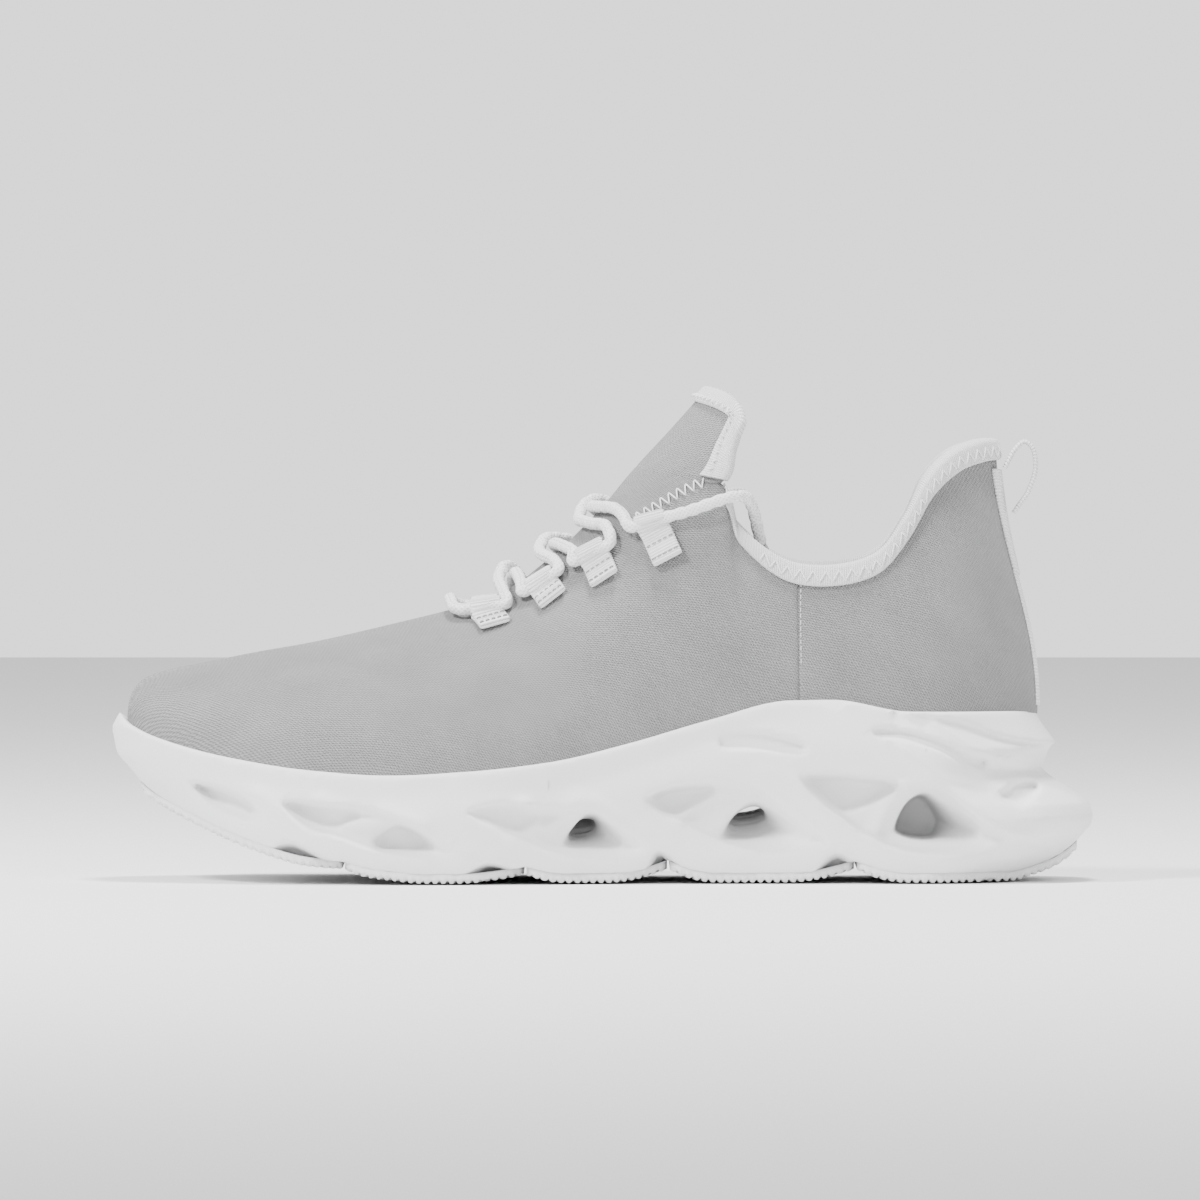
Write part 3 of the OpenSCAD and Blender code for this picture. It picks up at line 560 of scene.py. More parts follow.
forefoot = settle(forefoot_knit(), "shoe", "knit", "forefoot_upper")
heel = settle(heel_knit(), "shoe", "knit", "heel_upper")
gusset = settle(gusset_knit(), "shoe", "knit", "throat_gusset")


# ---- Foam midsole ---------------------------------------------------------
#
# A signed distance field over a grid, negative in the foam. A relief drawn in side view
# is carved into the side walls, with pits, and with windows that run right through.

# the sole from above, then heights of its rim and its tread along x
SOLE_PLAN = [(-152.5, 5), (-150, -9), (-142, -23), (-124, -37), (-98, -49), (-70, -54.6),
             (-42, -54.8), (-10, -48.5), (25, -43.5), (60, -42.5), (95, -44.5),
             (122, -43.5), (140, -35), (149.6, -19), (152.5, 0), (149.6, 19), (140, 33),
             (122, 41), (95, 42), (60, 38.5), (25, 39), (-10, 45), (-42, 52.5), (-70, 54.8),
             (-98, 51), (-124, 42), (-142, 30), (-150, 17.5)]
RIM = [(-153, 56), (-146, 48), (-134, 43), (-115, 38.4), (-90, 34.7), (-66, 33.2),
       (-41, 34.4), (-16, 37.2), (8, 42.8), (33, 50), (58, 56), (71, 56.2), (95, 52.5),
       (127, 52.3), (135, 52)]
TREAD = [(-146, 31), (-141, 25.5), (-134, 21.4), (-127, 18), (-115, 12.7), (-103, 8.4),
         (-92, 5), (-78, 2.6), (-64, 0.8), (-54, 0), (126, 0), (133, 1.6), (139, 3.7),
         (145, 7.4), (150, 13)]
OUTSOLE_T = 2.5
PAD_ENDS = [(-143, -79.9), (-79.1, -24), (-23.2, 20.1), (20.9, 77.8), (78.6, 147)]
PAD_GROOVES = [(-79.5, 6), (-23.5, 6), (20.5, 7), (78.2, 8)]  # x, height over the tread


def smax(a, b, r):
    """The larger of two fields, with the edge between them rounded."""
    h = np.clip(0.5 + 0.5 * (a - b) / r, 0, 1)
    return b + (a - b) * h + r * h * (1 - h)


def smin(a, b, r):
    """The smaller of two fields, with the edge between them rounded."""
    return -smax(-a, -b, r)


def segment_distance(points, x, y, closed):
    """Distance to a line through points, and the sign of the side that a place lies on."""
    p = np.array(points, float)
    ends = np.roll(p, -1, axis=0) if closed else p[1:]
    best = np.full(np.broadcast(x, y).shape, 1e9)
    sign = np.ones(best.shape)
    for a, b in zip(p, ends):
        d = b - a
        t = np.clip(((x - a[0]) * d[0] + (y - a[1]) * d[1]) / (d @ d), 0, 1)
        away = np.hypot(x - a[0] - t * d[0], y - a[1] - t * d[1])
        nearer = away < best
        best = np.where(nearer, away, best)
        sign = np.where(nearer, np.sign(d[0] * (y - a[1]) - d[1] * (x - a[0])), sign)
    return best, sign


def inside_of(points, x, y):
    """Whether a place lies inside a closed outline."""
    inside = np.zeros(np.broadcast(x, y).shape, bool)
    p = np.array(points, float)
    for a, b in zip(p, np.roll(p, -1, axis=0)):
        if a[1] != b[1]:
            crosses = (a[1] > y) != (b[1] > y)
            inside ^= crosses & (x < (b[0] - a[0]) * (y - a[1]) / (b[1] - a[1]) + a[0])
    return inside


def area_distance(points, x, y):
    """Signed distance to a closed outline, negative inside."""
    away, _ = segment_distance(points, x, y, True)
    return np.where(inside_of(points, x, y), -away, away)


def ridge(points, x, z, width, high):
    """A rounded rib along a line, so a depth below zero."""
    away, _ = segment_distance(smooth_open(points, 4), x, z, False)
    return -high * np.exp(-(away / width) ** 2)


def ledge(points, x, z, reach, deep):
    """A crisp edge along a line: the wall drops on its left and rises back over a reach."""
    away, side = segment_distance(smooth_open(points, 4), x, z, False)
    return deep * smoothstep(-0.5, 0.7, side * away) * np.exp(-(away / reach) ** 2)


def dish(points, x, z, deep, edge):
    """A shallow hollow with a soft edge."""
    return deep * smoothstep(edge, -edge, area_distance(smooth_closed(points, 4), x, z))


def bowl(points, x, z, deep):
    """A hollow between two struts: crisp at its lower left, running out softly at its right."""
    p = np.array(points)
    low, high = p.min(0), p.max(0)
    across = np.clip((x - low[0]) / (high[0] - low[0]), 0, 1)
    up = np.clip((z - low[1]) / (high[1] - low[1]), 0, 1)
    soft = 1.1 + 4.5 * across ** 2 + 1.6 * up
    return deep * smoothstep(0.4, -soft, area_distance(smooth_closed(points, 4), x, z))


BOWLS = [  # outline in side view, depth
    ([(-128, 31), (-118, 30.5), (-108, 27), (-103, 21.5), (-106, 17.5), (-114, 19.5),
      (-122, 24)], 2.4),
    ([(-99, 25.2), (-88, 25.4), (-74, 24), (-62, 21), (-53, 15.4), (-44, 9), (-52, 7.2),
      (-68, 9.4), (-78, 12.8), (-88, 16.6), (-94, 20.2)], 4.6),
    ([(-42, 22), (-32, 25), (-22, 24.5), (-13, 23.8), (-5, 24.4), (3, 20), (14, 10.4),
      (8, 7.4), (-4, 7.6), (-16, 9.4), (-26, 14.2), (-35, 18.6)], 4.6),
    ([(13, 25.8), (22, 30), (36, 32), (48, 30), (58, 23.4), (70, 13), (66, 9.6), (52, 8.4),
      (39, 11.6), (28, 16.6), (20, 20.8)], 5.2),
    ([(60.6, 32.4), (70, 34), (85, 32.6), (93, 30.4), (104, 30), (114, 23.6), (124, 14),
      (118, 9.6), (104, 8.4), (90, 10.4), (79, 15.8), (69, 24)], 5.4)]
RIDGES = [  # centre line, width, height: soft ribs inside the bowls and along the heel
    ([(-86, 25), (-76, 18), (-66, 19.6), (-56, 18)], 2.6, 1.5),
    ([(-24, 24), (-18, 17), (-12, 20.4), (-5, 23.6), (2, 20)], 2.4, 1.7),
    ([(24, 20), (31, 26.4), (38, 28.4), (48, 26.8), (56, 21), (64, 14)], 2.2, 1.8),
    ([(84, 15), (88, 24), (93, 29.2), (101, 30.4), (108, 26.4), (117, 19)], 2.4, 2.0),
    ([(-106, 27.6), (-97.8, 22.4), (-89.3, 16.3), (-81.6, 13.2), (-70, 9.6), (-55, 6.6)],
     2.6, 0.8),
    ([(-66, 22), (-52.3, 13), (-42, 9), (-28, 6), (-10, 4.6)], 2.8, 0.7),
    ([(-8, 26.6), (0.7, 22.8), (12.2, 15.1), (26, 8), (42, 5.4)], 2.8, 0.9),
    ([(50, 34), (61.3, 28.7), (78.3, 14.6), (92, 8.4), (110, 6)], 3.0, 0.9),
    ([(92.9, 41), (99, 35.4), (113.7, 24.3), (124.5, 15.6), (133.8, 11)], 2.6, 1.2),
    ([(103.7, 50), (116.8, 42.4), (136.1, 35.6)], 2.2, 1.4)]
LEDGES = [  # line with the drop on its left, reach, depth
    ([(128, 27.2), (121.4, 28.6), (105.2, 31.3), (97.5, 35.9), (90.4, 41.5)], 7.0, 1.0),
    ([(133, 11.6), (124.5, 15.1), (113.7, 19.6)], 5.0, 1.2),
    ([(150, 40.4), (141.5, 41.7), (124.5, 44.4), (109.1, 49.8), (92, 52.4)], 4.6, 2.0),
    ([(104, 49), (116.8, 41.2), (136.1, 34.4), (146, 32)], 5.0, 1.4)]
DISHES = [  # outline, depth, softness of the edge
    ([(-125.3, 29.7), (-115.5, 27.4), (-109.4, 24.3), (-107, 21.6), (-108.6, 19.9),
      (-115.5, 22.4), (-121.7, 25.5)], 4.6, 1.2),
    ([(-97.4, 24.2), (-89.3, 23.0), (-77, 21.9), (-76, 19.7), (-87, 16.1), (-93.2, 18.9)],
     3.4, 1.5),
    ([(-38.4, 20.6), (-30.2, 21.8), (-22.5, 22), (-20.9, 19.7), (-27.9, 15.1),
      (-33.5, 18.2)], 2.4, 1.9),
    ([(15.6, 25.6), (20.7, 28.4), (30, 29), (34, 28.2), (24.6, 22.2), (19.4, 21.6)], 4.2, 1.4),
    ([(36.5, 43.6), (37.7, 45.6), (46.9, 46), (56.2, 44.4), (62.4, 42.1), (60.8, 39.8),
      (46.9, 41.3), (37.7, 41.7)], 3.0, 0.9),
    ([(63.2, 31), (70.5, 32.2), (88, 31.4), (90, 29), (75, 21.6), (66.7, 26.2)], 4.8, 1.4),
    ([(123.4, 27), (127, 29.8), (131, 30.6), (134.3, 29.2), (133.5, 27),
      (129.7, 23.8), (125, 25)], 5.0, 1.3),
    ([(84.6, 47.2), (93.7, 46.6), (105.2, 43), (112.9, 39.2), (118.4, 37.6), (117, 35.6),
      (112, 36.4), (104.6, 40.4), (93.2, 44.2), (85, 45.2)], 3.2, 0.8)]
PITS = [  # outline at the wall, core outline further in, how far in it lies, depth
    ([(-70.6, 12.8), (-66.4, 16.4), (-61.9, 18.4), (-55.6, 16.2), (-51.4, 12), (-55.4, 9.3),
      (-67.7, 9.7)],
     [(-68, 12), (-65, 15.4), (-61.9, 16), (-59, 14.4), (-58, 12), (-60, 11), (-66, 11)],
     8, 10),
    ([(90, 17.4), (93.4, 24.2), (99.1, 27.8), (105.6, 24.4), (115, 18.4), (116, 14.8),
      (113.2, 12.4), (98.3, 12.6), (90.8, 14.8)],
     [(91.4, 17.4), (94, 23), (98, 25), (100.6, 20), (101, 16), (99.6, 14.4), (93, 14.8)],
     24, 25),
    ([(-101, 9.9), (-95.5, 12.6), (-87, 8.6), (-78.3, 3.2), (-90.9, 2.0)],
     [(-97, 8), (-94.5, 9.4), (-89, 6.4), (-85, 3.2), (-91, 2.4)], 9, 10),
    ([(-42, 1), (-36.9, 6), (-30.9, 5.6), (-21.6, 1)],
     [(-38, 0), (-35.6, 3.6), (-31.6, 3.4), (-27, 0)], 10, 12),
    ([(13.6, 0.5), (16.1, 9.2), (19.4, 8.9), (25, 3), (24, 0)],
     [(16, 0), (17.2, 6.6), (19, 6.4), (22, 0)], 10, 12),
    ([(64.6, 0), (70.1, 8.2), (74.8, 8.2), (81, 2.6), (79, 0)],
     [(67.6, 0), (71, 5.6), (74, 5.6), (77, 0)], 10, 12)]
TUNNELS = [  # outline at the wall, core outline, how far in it lies, rise in the middle
    ([(-11.8, 13), (-7.4, 18.8), (-4, 21.4), (-0.4, 20.4), (5.6, 14.3), (4.6, 10.6),
      (-4, 10.2), (-10.8, 10.8)],
     [(-10, 15.1), (-7.2, 18.8), (-3, 19), (-2, 16.2), (-4, 14.3), (-9.2, 13.5)], 12, 5.5),
    ([(37, 15), (41, 21.2), (46.2, 24.6), (51.6, 22.6), (59.8, 16.2), (58.3, 12.4),
      (49.2, 11.8), (38.2, 12.4)],
     [(39.2, 17.0), (42.1, 20.7), (47.9, 22.2), (50.2, 18.9), (48.7, 16.5), (40.6, 15.2)],
     12, 4.3)]
CUSPS = [(-79.5, 1.4, 24, 10), (-23.6, 2.6, 22, 13), (20.5, 4.0, 20, 15),
         (78.2, 4.0, 22, 16)]  # where two pods meet underneath: x, rise, reach each way
# height and how far in the wall lies there, at the heel's end and at the toe
HEEL_SIDE = [(0, 24), (1.6, 19.8), (3.7, 13.6), (7.4, 7.5), (14.9, 1.2), (19.5, 0),
             (23.6, 1.2), (27.3, 5.5), (30.4, 10.5), (34.2, 15.5), (37.6, 12.6), (41.2, 9.9),
             (47.5, 14.5), (52, 17.7), (58, 20)]
TOE_SIDE = [(0, 24), (26, 10.8), (31.3, 6.2), (38.8, 1.8), (46.8, 0.3), (54.3, 4.1), (58, 7)]
LEAN = 3.0  # how much further in a wall's foot lies than its rim
TUCK = 1.8  # how much further in it lies right over the tread
SKIN = 1.2  # how deep the plain wall lies, so that a rib has room to stand up


def underside(x):
    """Height of the tread over x, with the pods rising where they meet."""
    z = heights(TREAD, x)
    for at, rise, before, after in CUSPS:
        reach = np.where(x < at, before, after)
        z = z + rise * np.clip(1 - np.abs(x - at) / reach, 0, 1) ** 2
    return z


def wall_relief(x, z):
    """How far the side wall lies in from the sole's outline, over its side view."""
    rim, tread = heights(RIM, x), underside(x)
    toe, heel = smoothstep(-108, -146, x), smoothstep(100, 134, x)
    inset = heel * np.interp(z, *np.array(HEEL_SIDE).T) + toe * np.interp(z, *np.array(TOE_SIDE).T)
    inset += LEAN * (1 - heel) * (1 - toe) * smoothstep(16, 0, rim - z)
    inset += TUCK * smoothstep(9, 0, z - tread) * (1 - heel)
    relief = SKIN * smoothstep(-146, -120, x) * smoothstep(152, 138, x) + 0 * z
    for shape, table in ((bowl, BOWLS), (dish, DISHES), (ridge, RIDGES), (ledge, LEDGES)):
        for points, *sizes in table:
            relief = relief + shape(points, x, z, *sizes)
    return inset + smax(relief, 0, 0.6)


FOAM_BOX = ((-155, 156), (-58, 58.5), (-2, 60))
RING_STEP = 4
RING_LEVELS = np.arange(34, 59, RING_STEP)
# painted shade in the foam's recesses: how far in a point is darkest, and the most it darkens
PAINTED_SHADE_REACH = 14  # how far in a recess is darkest
PAINTED_SHADE_MOST = 0.75


def upper_rings(xs, ys, zs):
    """Signed distance to the upper's outline over the grid, between a few levels of it."""
    x, y = np.meshgrid(xs, ys, indexing="ij")
    curves = upper_surface(np.linspace(0, AROUND, 115)[:-1], np.linspace(0, 0.999, 40))
    outlines = [[[np.interp(level, c[:, 2], c[:, i]) for i in (0, 1)] for c in curves]
                for level in RING_LEVELS]
    rings = np.stack([area_distance(outline, x, y) for outline in outlines], -1)
    at = np.clip((zs - RING_LEVELS[0]) / RING_STEP, 0, len(RING_LEVELS) - 1.001)
    k = at.astype(int)
    return rings[:, :, k] * (1 - at + k) + rings[:, :, k + 1] * (at - k)


def foam_block(xs, ys, zs, plan, relief, tread):
    """The foam's outside with its lip round the upper, and the pocket for the foot."""
    z = zs[None, None, :]
    rim, bed = heights(RIM, xs)[:, None, None], heights(FOOTBED, xs)[:, None, None]
    last = upper_rings(xs, ys, zs)
    heel = smoothstep(100, 132, xs)[:, None, None]
    lip = last - (2.2 - 1.0 * smoothstep(3, 9, rim - z)) * (1 - 0.86 * heel)
    lip = lip + 14 * smoothstep(bed - 1, bed - 7, z)
    side = smax(smin(plan + relief, lip, 1.0), plan, 0.5)
    body = smax(side, z - rim, 1.4)
    body = smax(body, (tread + OUTSOLE_T - z) * 0.9, 1.2)
    pocket = smax(last + 0.9, bed - 0.2 - z, 0.8)
    return smax(body, -pocket, 0.5)


def carve_recesses(body, cell, xs, ys, zs, plan, under):
    """Cuts the pits, the windows and the grooves. Returns the foam and where its recesses are, for
    the painted shade.
    """
    sx, sz = np.meshgrid(xs, zs, indexing="ij")

    def outline_field(points):
        return area_distance(smooth_closed(points, 4), sx, sz)[:, None, :]

    # where the pits and windows open in side view: the mask for the painted shade
    recess = np.zeros((len(xs), 1, len(zs)))
    for outline, core, reach, deep in PITS:
        wall, far = outline_field(outline), outline_field(core)
        recess = np.maximum(recess, smoothstep(1.2, -0.5, wall))
        t = np.clip(under / reach, 0, 1)
        body = smax(body, -smax(wall * (1 - t) + far * t, -plan - deep, 1.2), 0.8)
    for outline, core, reach, rise in TUNNELS:
        wall, far = outline_field(outline), outline_field(core)[:, 0]
        recess = np.maximum(recess, smoothstep(1.2, -0.5, wall))
        shift = np.rint(rise * smoothstep(30, 16, np.abs(ys)) / cell).astype(int)
        index = np.clip(np.arange(len(zs))[None, :] - shift[:, None], 0, len(zs) - 1)
        t = np.clip(under / reach, 0, 1)
        body = smax(body, -(wall * (1 - t) + far[:, index] * t), 0.8)
    tread = underside(xs)[:, None, None]
    for at, top in PAD_GROOVES:
        groove = np.abs(xs[:, None, None] - at) * 0.85 + (zs - tread - 1) * 0.5 - top * 0.3
        body = smax(body, -smax(groove, plan + 11, 1.0), 1.0)
    return body, recess


def midsole():
    """The foam as one mesh, with painted shade in its colour, darker the deeper a point lies in a
    recess.
    """
    cell = 0.9
    xs, ys, zs = (np.arange(a, b, cell) for a, b in FOAM_BOX)
    plan = area_distance(smooth_closed(SOLE_PLAN, 5), *np.meshgrid(xs, ys, indexing="ij"))
    plan = plan[:, :, None]
    relief = wall_relief(*np.meshgrid(xs, zs, indexing="ij"))[:, None, :]
    under = -plan - relief - 0.6
    body = foam_block(xs, ys, zs, plan, relief, underside(xs)[:, None, None])
    body, recess = carve_recesses(body, cell, xs, ys, zs, plan, under)

    grid = openvdb.FloatGrid(background=3.0)
    grid.copyFromArray(np.ascontiguousarray(np.clip(body, -3, 3), dtype=np.float32))
    points, triangles, quads = grid.convertToPolygons(isovalue=0.0, adaptivity=0.02)
    corner = [xs[0], ys[0], zs[0]]
    points = np.asarray(points, float) * cell + corner
    faces = [f[::-1] for f in quads.tolist() + triangles.tolist()]
    piece = make_mesh("foam_midsole", points, faces, FOAM)
    # painted shade: darker the deeper a point lies in a pit or window
    shade = recess * smoothstep(0, PAINTED_SHADE_REACH, under)
    nearest = np.rint((points - corner) / cell).astype(int)
    i, j, k = nearest.clip(0, np.array(body.shape) - 1).T
    # the painted shade goes to the foam material as a point attribute
    layer = piece.data.attributes.new("Depth", "FLOAT", "POINT")
    layer.data.foreach_set("value", np.ascontiguousarray(shade[i, j, k] * PAINTED_SHADE_MOST, np.float32))
    return piece


settle(midsole(), "shoe", "foam", "midsole")


# ---- Rubber pads ----------------------------------------------------------

def rubber_material():
    """Moulded rubber with a fine grain."""
    m = Nodes("rubber", 0.7, specular=0.3)
    place = m.place()
    grain = m.noise(place, 900, 2)
    m.colour(m.noise(place, 40, 2), (0.74, 0.74, 0.75), (0.82, 0.82, 0.83))
    m.bump(grain, 0.25, 0.2)
    return m.material


RUBBER = rubber_material()
PAD_STEP = 0.5
PAD_CORNER = 3.0
TOOTH_PITCH = 2.5
TOOTH_DEEP = 0.9


def outsole_pad(k, node):
    """A pad with toothed ribs across it, broken by grooves along the sole."""
    start, end = PAD_ENDS[k]
    x = np.linspace(start, end, int((end - start) / PAD_STEP))
    inset = wall_relief(x, underside(x) + OUTSOLE_T + 0.4) + 0.1
    if k < len(PAD_ENDS) - 1:
        inset = inset + 5.5 * smoothstep(end - 15, end, x)
    y = np.arange(-58, 58.1, PAD_STEP)
    gx, gy = np.meshgrid(x, y, indexing="ij")
    inside = area_distance(smooth_closed(SOLE_PLAN, 5), gx, gy) + inset[:, None] < 0
    y0 = np.array([y[row][0] if row.any() else 0 for row in inside])
    y1 = np.array([y[row][-1] if row.any() else 1 for row in inside])
    y0, y1 = averaged(y0, 7), averaged(y1, 7)
    to_straight = PAD_CORNER - np.minimum(x - start, end - x).clip(0, PAD_CORNER)
    round_off = PAD_CORNER - np.sqrt(np.maximum(PAD_CORNER ** 2 - to_straight ** 2, 0))
    y0, y1 = y0 + round_off, y1 - round_off
    across = np.linspace(0, 1, 64)[None, :]
    y = y0[:, None] + (y1 - y0)[:, None] * across
    zig = 1.6 * np.abs((y / 9) % 2 - 1)
    rib = smoothstep(0.25, 0.6, np.abs(((x[:, None] + zig) / TOOTH_PITCH) % 1 - 0.5) * 2)
    channel = smoothstep(0.5, 1.3, np.abs((y + 4.5) % 18 - 9) - 0.2)
    deep = TOOTH_DEEP * (1 - rib * channel)
    tread = underside(x)[:, None]
    slope = np.gradient(underside(x), x)[:, None]
    lean = 1 / np.sqrt(1 + slope ** 2)
    bottom = np.stack([x[:, None] - slope * lean * deep, y, tread + lean * deep], -1)
    top = np.stack([x[:, None] + 0 * y, y, tread + OUTSOLE_T + 0.35 + 0 * y], -1)
    return shell(node + "_rubber", bottom[:, ::-1], top[:, ::-1], RUBBER)


for k, end_name in enumerate(("toe", "forefoot", "midfoot", "rearfoot", "heel")):
    settle(outsole_pad(k, "outsole_" + end_name), "shoe", "outsole", "outsole_" + end_name)


# ---- Tape, webbing and thread ---------------------------------------------

def tape_material(name, pitch, light=0.83):
    """Woven tape: fine ribs across its length, on a close grain."""
    m = Nodes(name, 0.85, sheen=0.2, specular=0.2)
    uv, u, v = m.weave()
    ribs = m.wave(m.math("MULTIPLY_ADD", m.noise(uv, 0.8, 1), 0.15, u), pitch)
    grain = m.wave(v, pitch * 0.8)
    height = m.math("MULTIPLY_ADD", m.math("MULTIPLY", grain, ribs), 0.4, ribs)
    m.colour(height, (light * 0.80,) * 3, (light,) * 3)
    m.bump(height, 0.8, 0.25)
    return m.material


def plain_material(name, dark, light, roughness, scale=600):
    """A grey with a fine even grain."""
    m = Nodes(name, roughness, specular=0.3)
    place = m.place()
    grain = m.noise(place, scale, 3)
    m.colour(grain, (dark,) * 3, (light,) * 3)
    m.bump(grain, 0.3, 0.2)
    return m.material


TAPE = tape_material("tape", 0.72)
WEBBING = tape_material("webbing", 1.05, 0.86)
THREAD = plain_material("thread", 0.74, 0.88, 0.6)
# dark grey thread for the tab stitches: painted shadow of the stitch holes in the white webbing
PAINTED_SHADOW_THREAD = plain_material("painted_shadow_thread", 0.22, 0.34, 0.7)
OFF_EVERY_SEAM = (0.31, 0.11, 0.94)  # a direction that no seam follows
BIND_W = 5.6
BIND_T = 1.0
GAP = 0.1
COLLAR_START = 10.25
SWELL_FROM = 0.54
SWELL = 4.5
LINING_T = 0.8
STIFFENER_T = 1.6
PUFF_T = 1.2


def thread(name, routes, radius, sides=6, material=THREAD):
    """Sewing thread as round strands along routes in millimetres."""
    points, faces = [], []
    for route in routes:
        line = np.asarray(route, float)
        along = unit(np.gradient(line, axis=0))
        side = unit(np.cross(along, OFF_EVERY_SEAM))
        up = np.cross(along, side)
        faces += tube_faces(len(line), sides, len(points))
        points += rings_round(line, side, up, turns(sides), radius).reshape(-1, 3).tolist()
    return make_mesh(name, points, faces, material)


def zigzag(centre, side, normal, half, pitch, lift):
    """A zigzag stitch along a centre line, as one strand that dips in at each turn."""
    along = lengths_along(centre)
    count = max(4, int(along[-1] / pitch * 2))
    at = np.linspace(0, along[-1], count * 6 + 1)
    phase = np.arange(count * 6 + 1) / 6
    swing = 1 - 2 * np.abs(phase % 2 - 1)
    centre, side, normal = (picked(v, along, at) for v in (centre, side, normal))
    dip = np.abs(swing) ** 6
    return centre + side * (half * swing)[:, None] + normal * (lift * (1 - 1.5 * dip))[:, None]


def folded(front, rim, back, count):
    """A tape's rows: up its front, round the rim it covers and down its back."""
    rows = [front(e) for e in np.linspace(1, 0, count)]
    rows += [rim(a) for a in np.linspace(0, math.pi, 9)[1:-1]]
    return np.stack(rows + [back(e) for e in np.linspace(0, 1, count)], 1)


def lining_depth(s, q):
    """Depth of the collar's lining under the knit's face: knit, stiffener and padding."""
    from_heel = np.minimum(s, AROUND - s)
    share = np.clip((q - SWELL_FROM) / (1 - SWELL_FROM), 0, 1)
    swell = SWELL * np.where(q > SWELL_FROM, np.sin(math.pi * share), 0)
    return KNIT_T + STIFFENER_T + 3 * GAP + swell * np.clip((from_heel - 10.5) / 1.5, 0, 1)


def side_curves(nets, q):
    """A point on each station's side curve, at its own height q."""
    return sum(w[:, None] * nets[:, i] for i, w in enumerate(bezier_weights(q).T))


def collar_binding():
    """Tape folded over the collar's edge, and the zigzag sewn along it."""
    s = np.linspace(COLLAR_START, AROUND - COLLAR_START, 560)
    nets = nets_at(s)
    top = nets[:, 3] - nets[:, 2]
    share = BIND_W / (3 * np.linalg.norm(top, axis=1))
    up = unit(top)
    near = np.clip(2 * (np.minimum(s, AROUND - s) - 10.5), 0, 1)

    def side_point(q, depth):
        q = np.broadcast_to(q, s.shape)
        along = side_curves(nets_at(s + STEP), q) - side_curves(nets_at(s - STEP), q)
        low = np.minimum(q, 1 - STEP)
        rise = side_curves(nets, low + STEP) - side_curves(nets, low)
        depth = np.broadcast_to(depth, s.shape)[:, None]
        return side_curves(nets, q) - unit(np.cross(along, rise)) * depth

    def inside(q):
        return (KNIT_T * (1 - near) + (lining_depth(s, np.broadcast_to(q, s.shape))
                                       + LINING_T) * near + GAP)

    def face(h, bulge):
        def front(e):
            return side_point(1 - share * e, -GAP - h - bulge * math.sin(math.pi * e))

        def rim(a):
            half = inside(1.0) / 2
            depth = half - (half + GAP + h) * math.cos(a)
            return side_point(1.0, depth) + up * ((GAP + h + 0.5) * math.sin(a))

        def back(e):
            q = 1 - share * e
            return side_point(q, inside(q) + h + 0.6 * bulge * math.sin(math.pi * e))

        return folded(front, rim, back, 9)

    tape = shell("collar_tape", face(BIND_T, 0.25), face(0.0, 0.0), TAPE)
    outer = slice(40, 520)
    mid = side_point(1 - share * 0.52, -GAP - BIND_T - 0.28)
    across = unit(side_point(1 - share * 0.3, -1.1) - side_point(1 - share * 0.7, -1.1))
    normal = unit(np.cross(np.gradient(mid, axis=0), across))
    return tape, zigzag(mid[outer], across[outer], normal[outer], 1.7, 4.0, 0.22)


tape_piece, collar_stitch = collar_binding()
settle(tape_piece, "shoe", "binding", "collar_binding")
settle(thread("collar_stitching", [collar_stitch], 0.26), "shoe", "binding")


# ---- Tongue ---------------------------------------------------------------

TONGUE_NETS = np.array([
    [STATIONS[9][0][r] for r in range(3, 7)], [STATIONS[10][0][r] for r in range(3, 7)],
    [(40, -27, 134.5), (33, -22.5, 136.5), (22, -14, 140), (22, 0, 140)],
    [(44.5, -22.5, 147), (40, -20, 149.5), (32, -13, 151.4), (32, 0, 151.4)],
    [(48, -17, 158), (45, -15, 161), (42, -11, 163.5), (42, 0, 163.5)]], float)
TONGUE_ROOT = 10.08
TONGUE_INNER = 0.91


def tongue_surface(u, f):
    """Points of the tongue's outer face at height u and across at f."""
    h = np.minimum(11.999, TONGUE_ROOT + (12 - 0.4 * np.abs(f) ** 6 - TONGUE_ROOT) * u)
    k = np.floor(h).astype(int)
    t = (h - k)[..., None, None]
    nets = spline(*[TONGUE_NETS[np.clip(k + i - 9, 0, 4)] for i in (-1, 0, 1, 2)], t)
    p = (bezier_weights(1 - np.abs(f))[..., None] * nets).sum(-2)
    p[..., 1] *= np.where(f > 0, -TONGUE_INNER, 1)
    return p


def tongue_point(u, f, d):
    """Points of the tongue at depth d under its outer face."""
    u, f, d = np.broadcast_arrays(np.asarray(u, float), np.asarray(f, float),
                                  np.asarray(d, float))
    u0, f0 = np.minimum(u, 1 - STEP), np.minimum(f, 1 - STEP)
    across = tongue_surface(u, f0 + STEP) - tongue_surface(u, f0)
    up = tongue_surface(u0 + STEP, f) - tongue_surface(u0, f)
    return tongue_surface(u, f) + unit(np.cross(across, up)) * d[..., None]


def rooted(piece, slot, *nodes):
    """Fabric that starts on the shoe, with its place baked into its mesh and the CAD parts of the
    nodes hidden. slot is not used.
    """
    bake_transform(piece)
    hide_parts(*nodes)
    return piece


def tongue_flap():
    """The knit of the tongue, from its root to its rounded top."""
    u, f = np.meshgrid(np.linspace(-0.05, 1, 60), np.linspace(-1, 1, 101), indexing="ij")
    sunk = 0.15 * smoothstep(0.03, -0.03, u)
    return shell("tongue_knit", tongue_point(u, f, sunk), tongue_point(u, f, KNIT_T), KNIT)


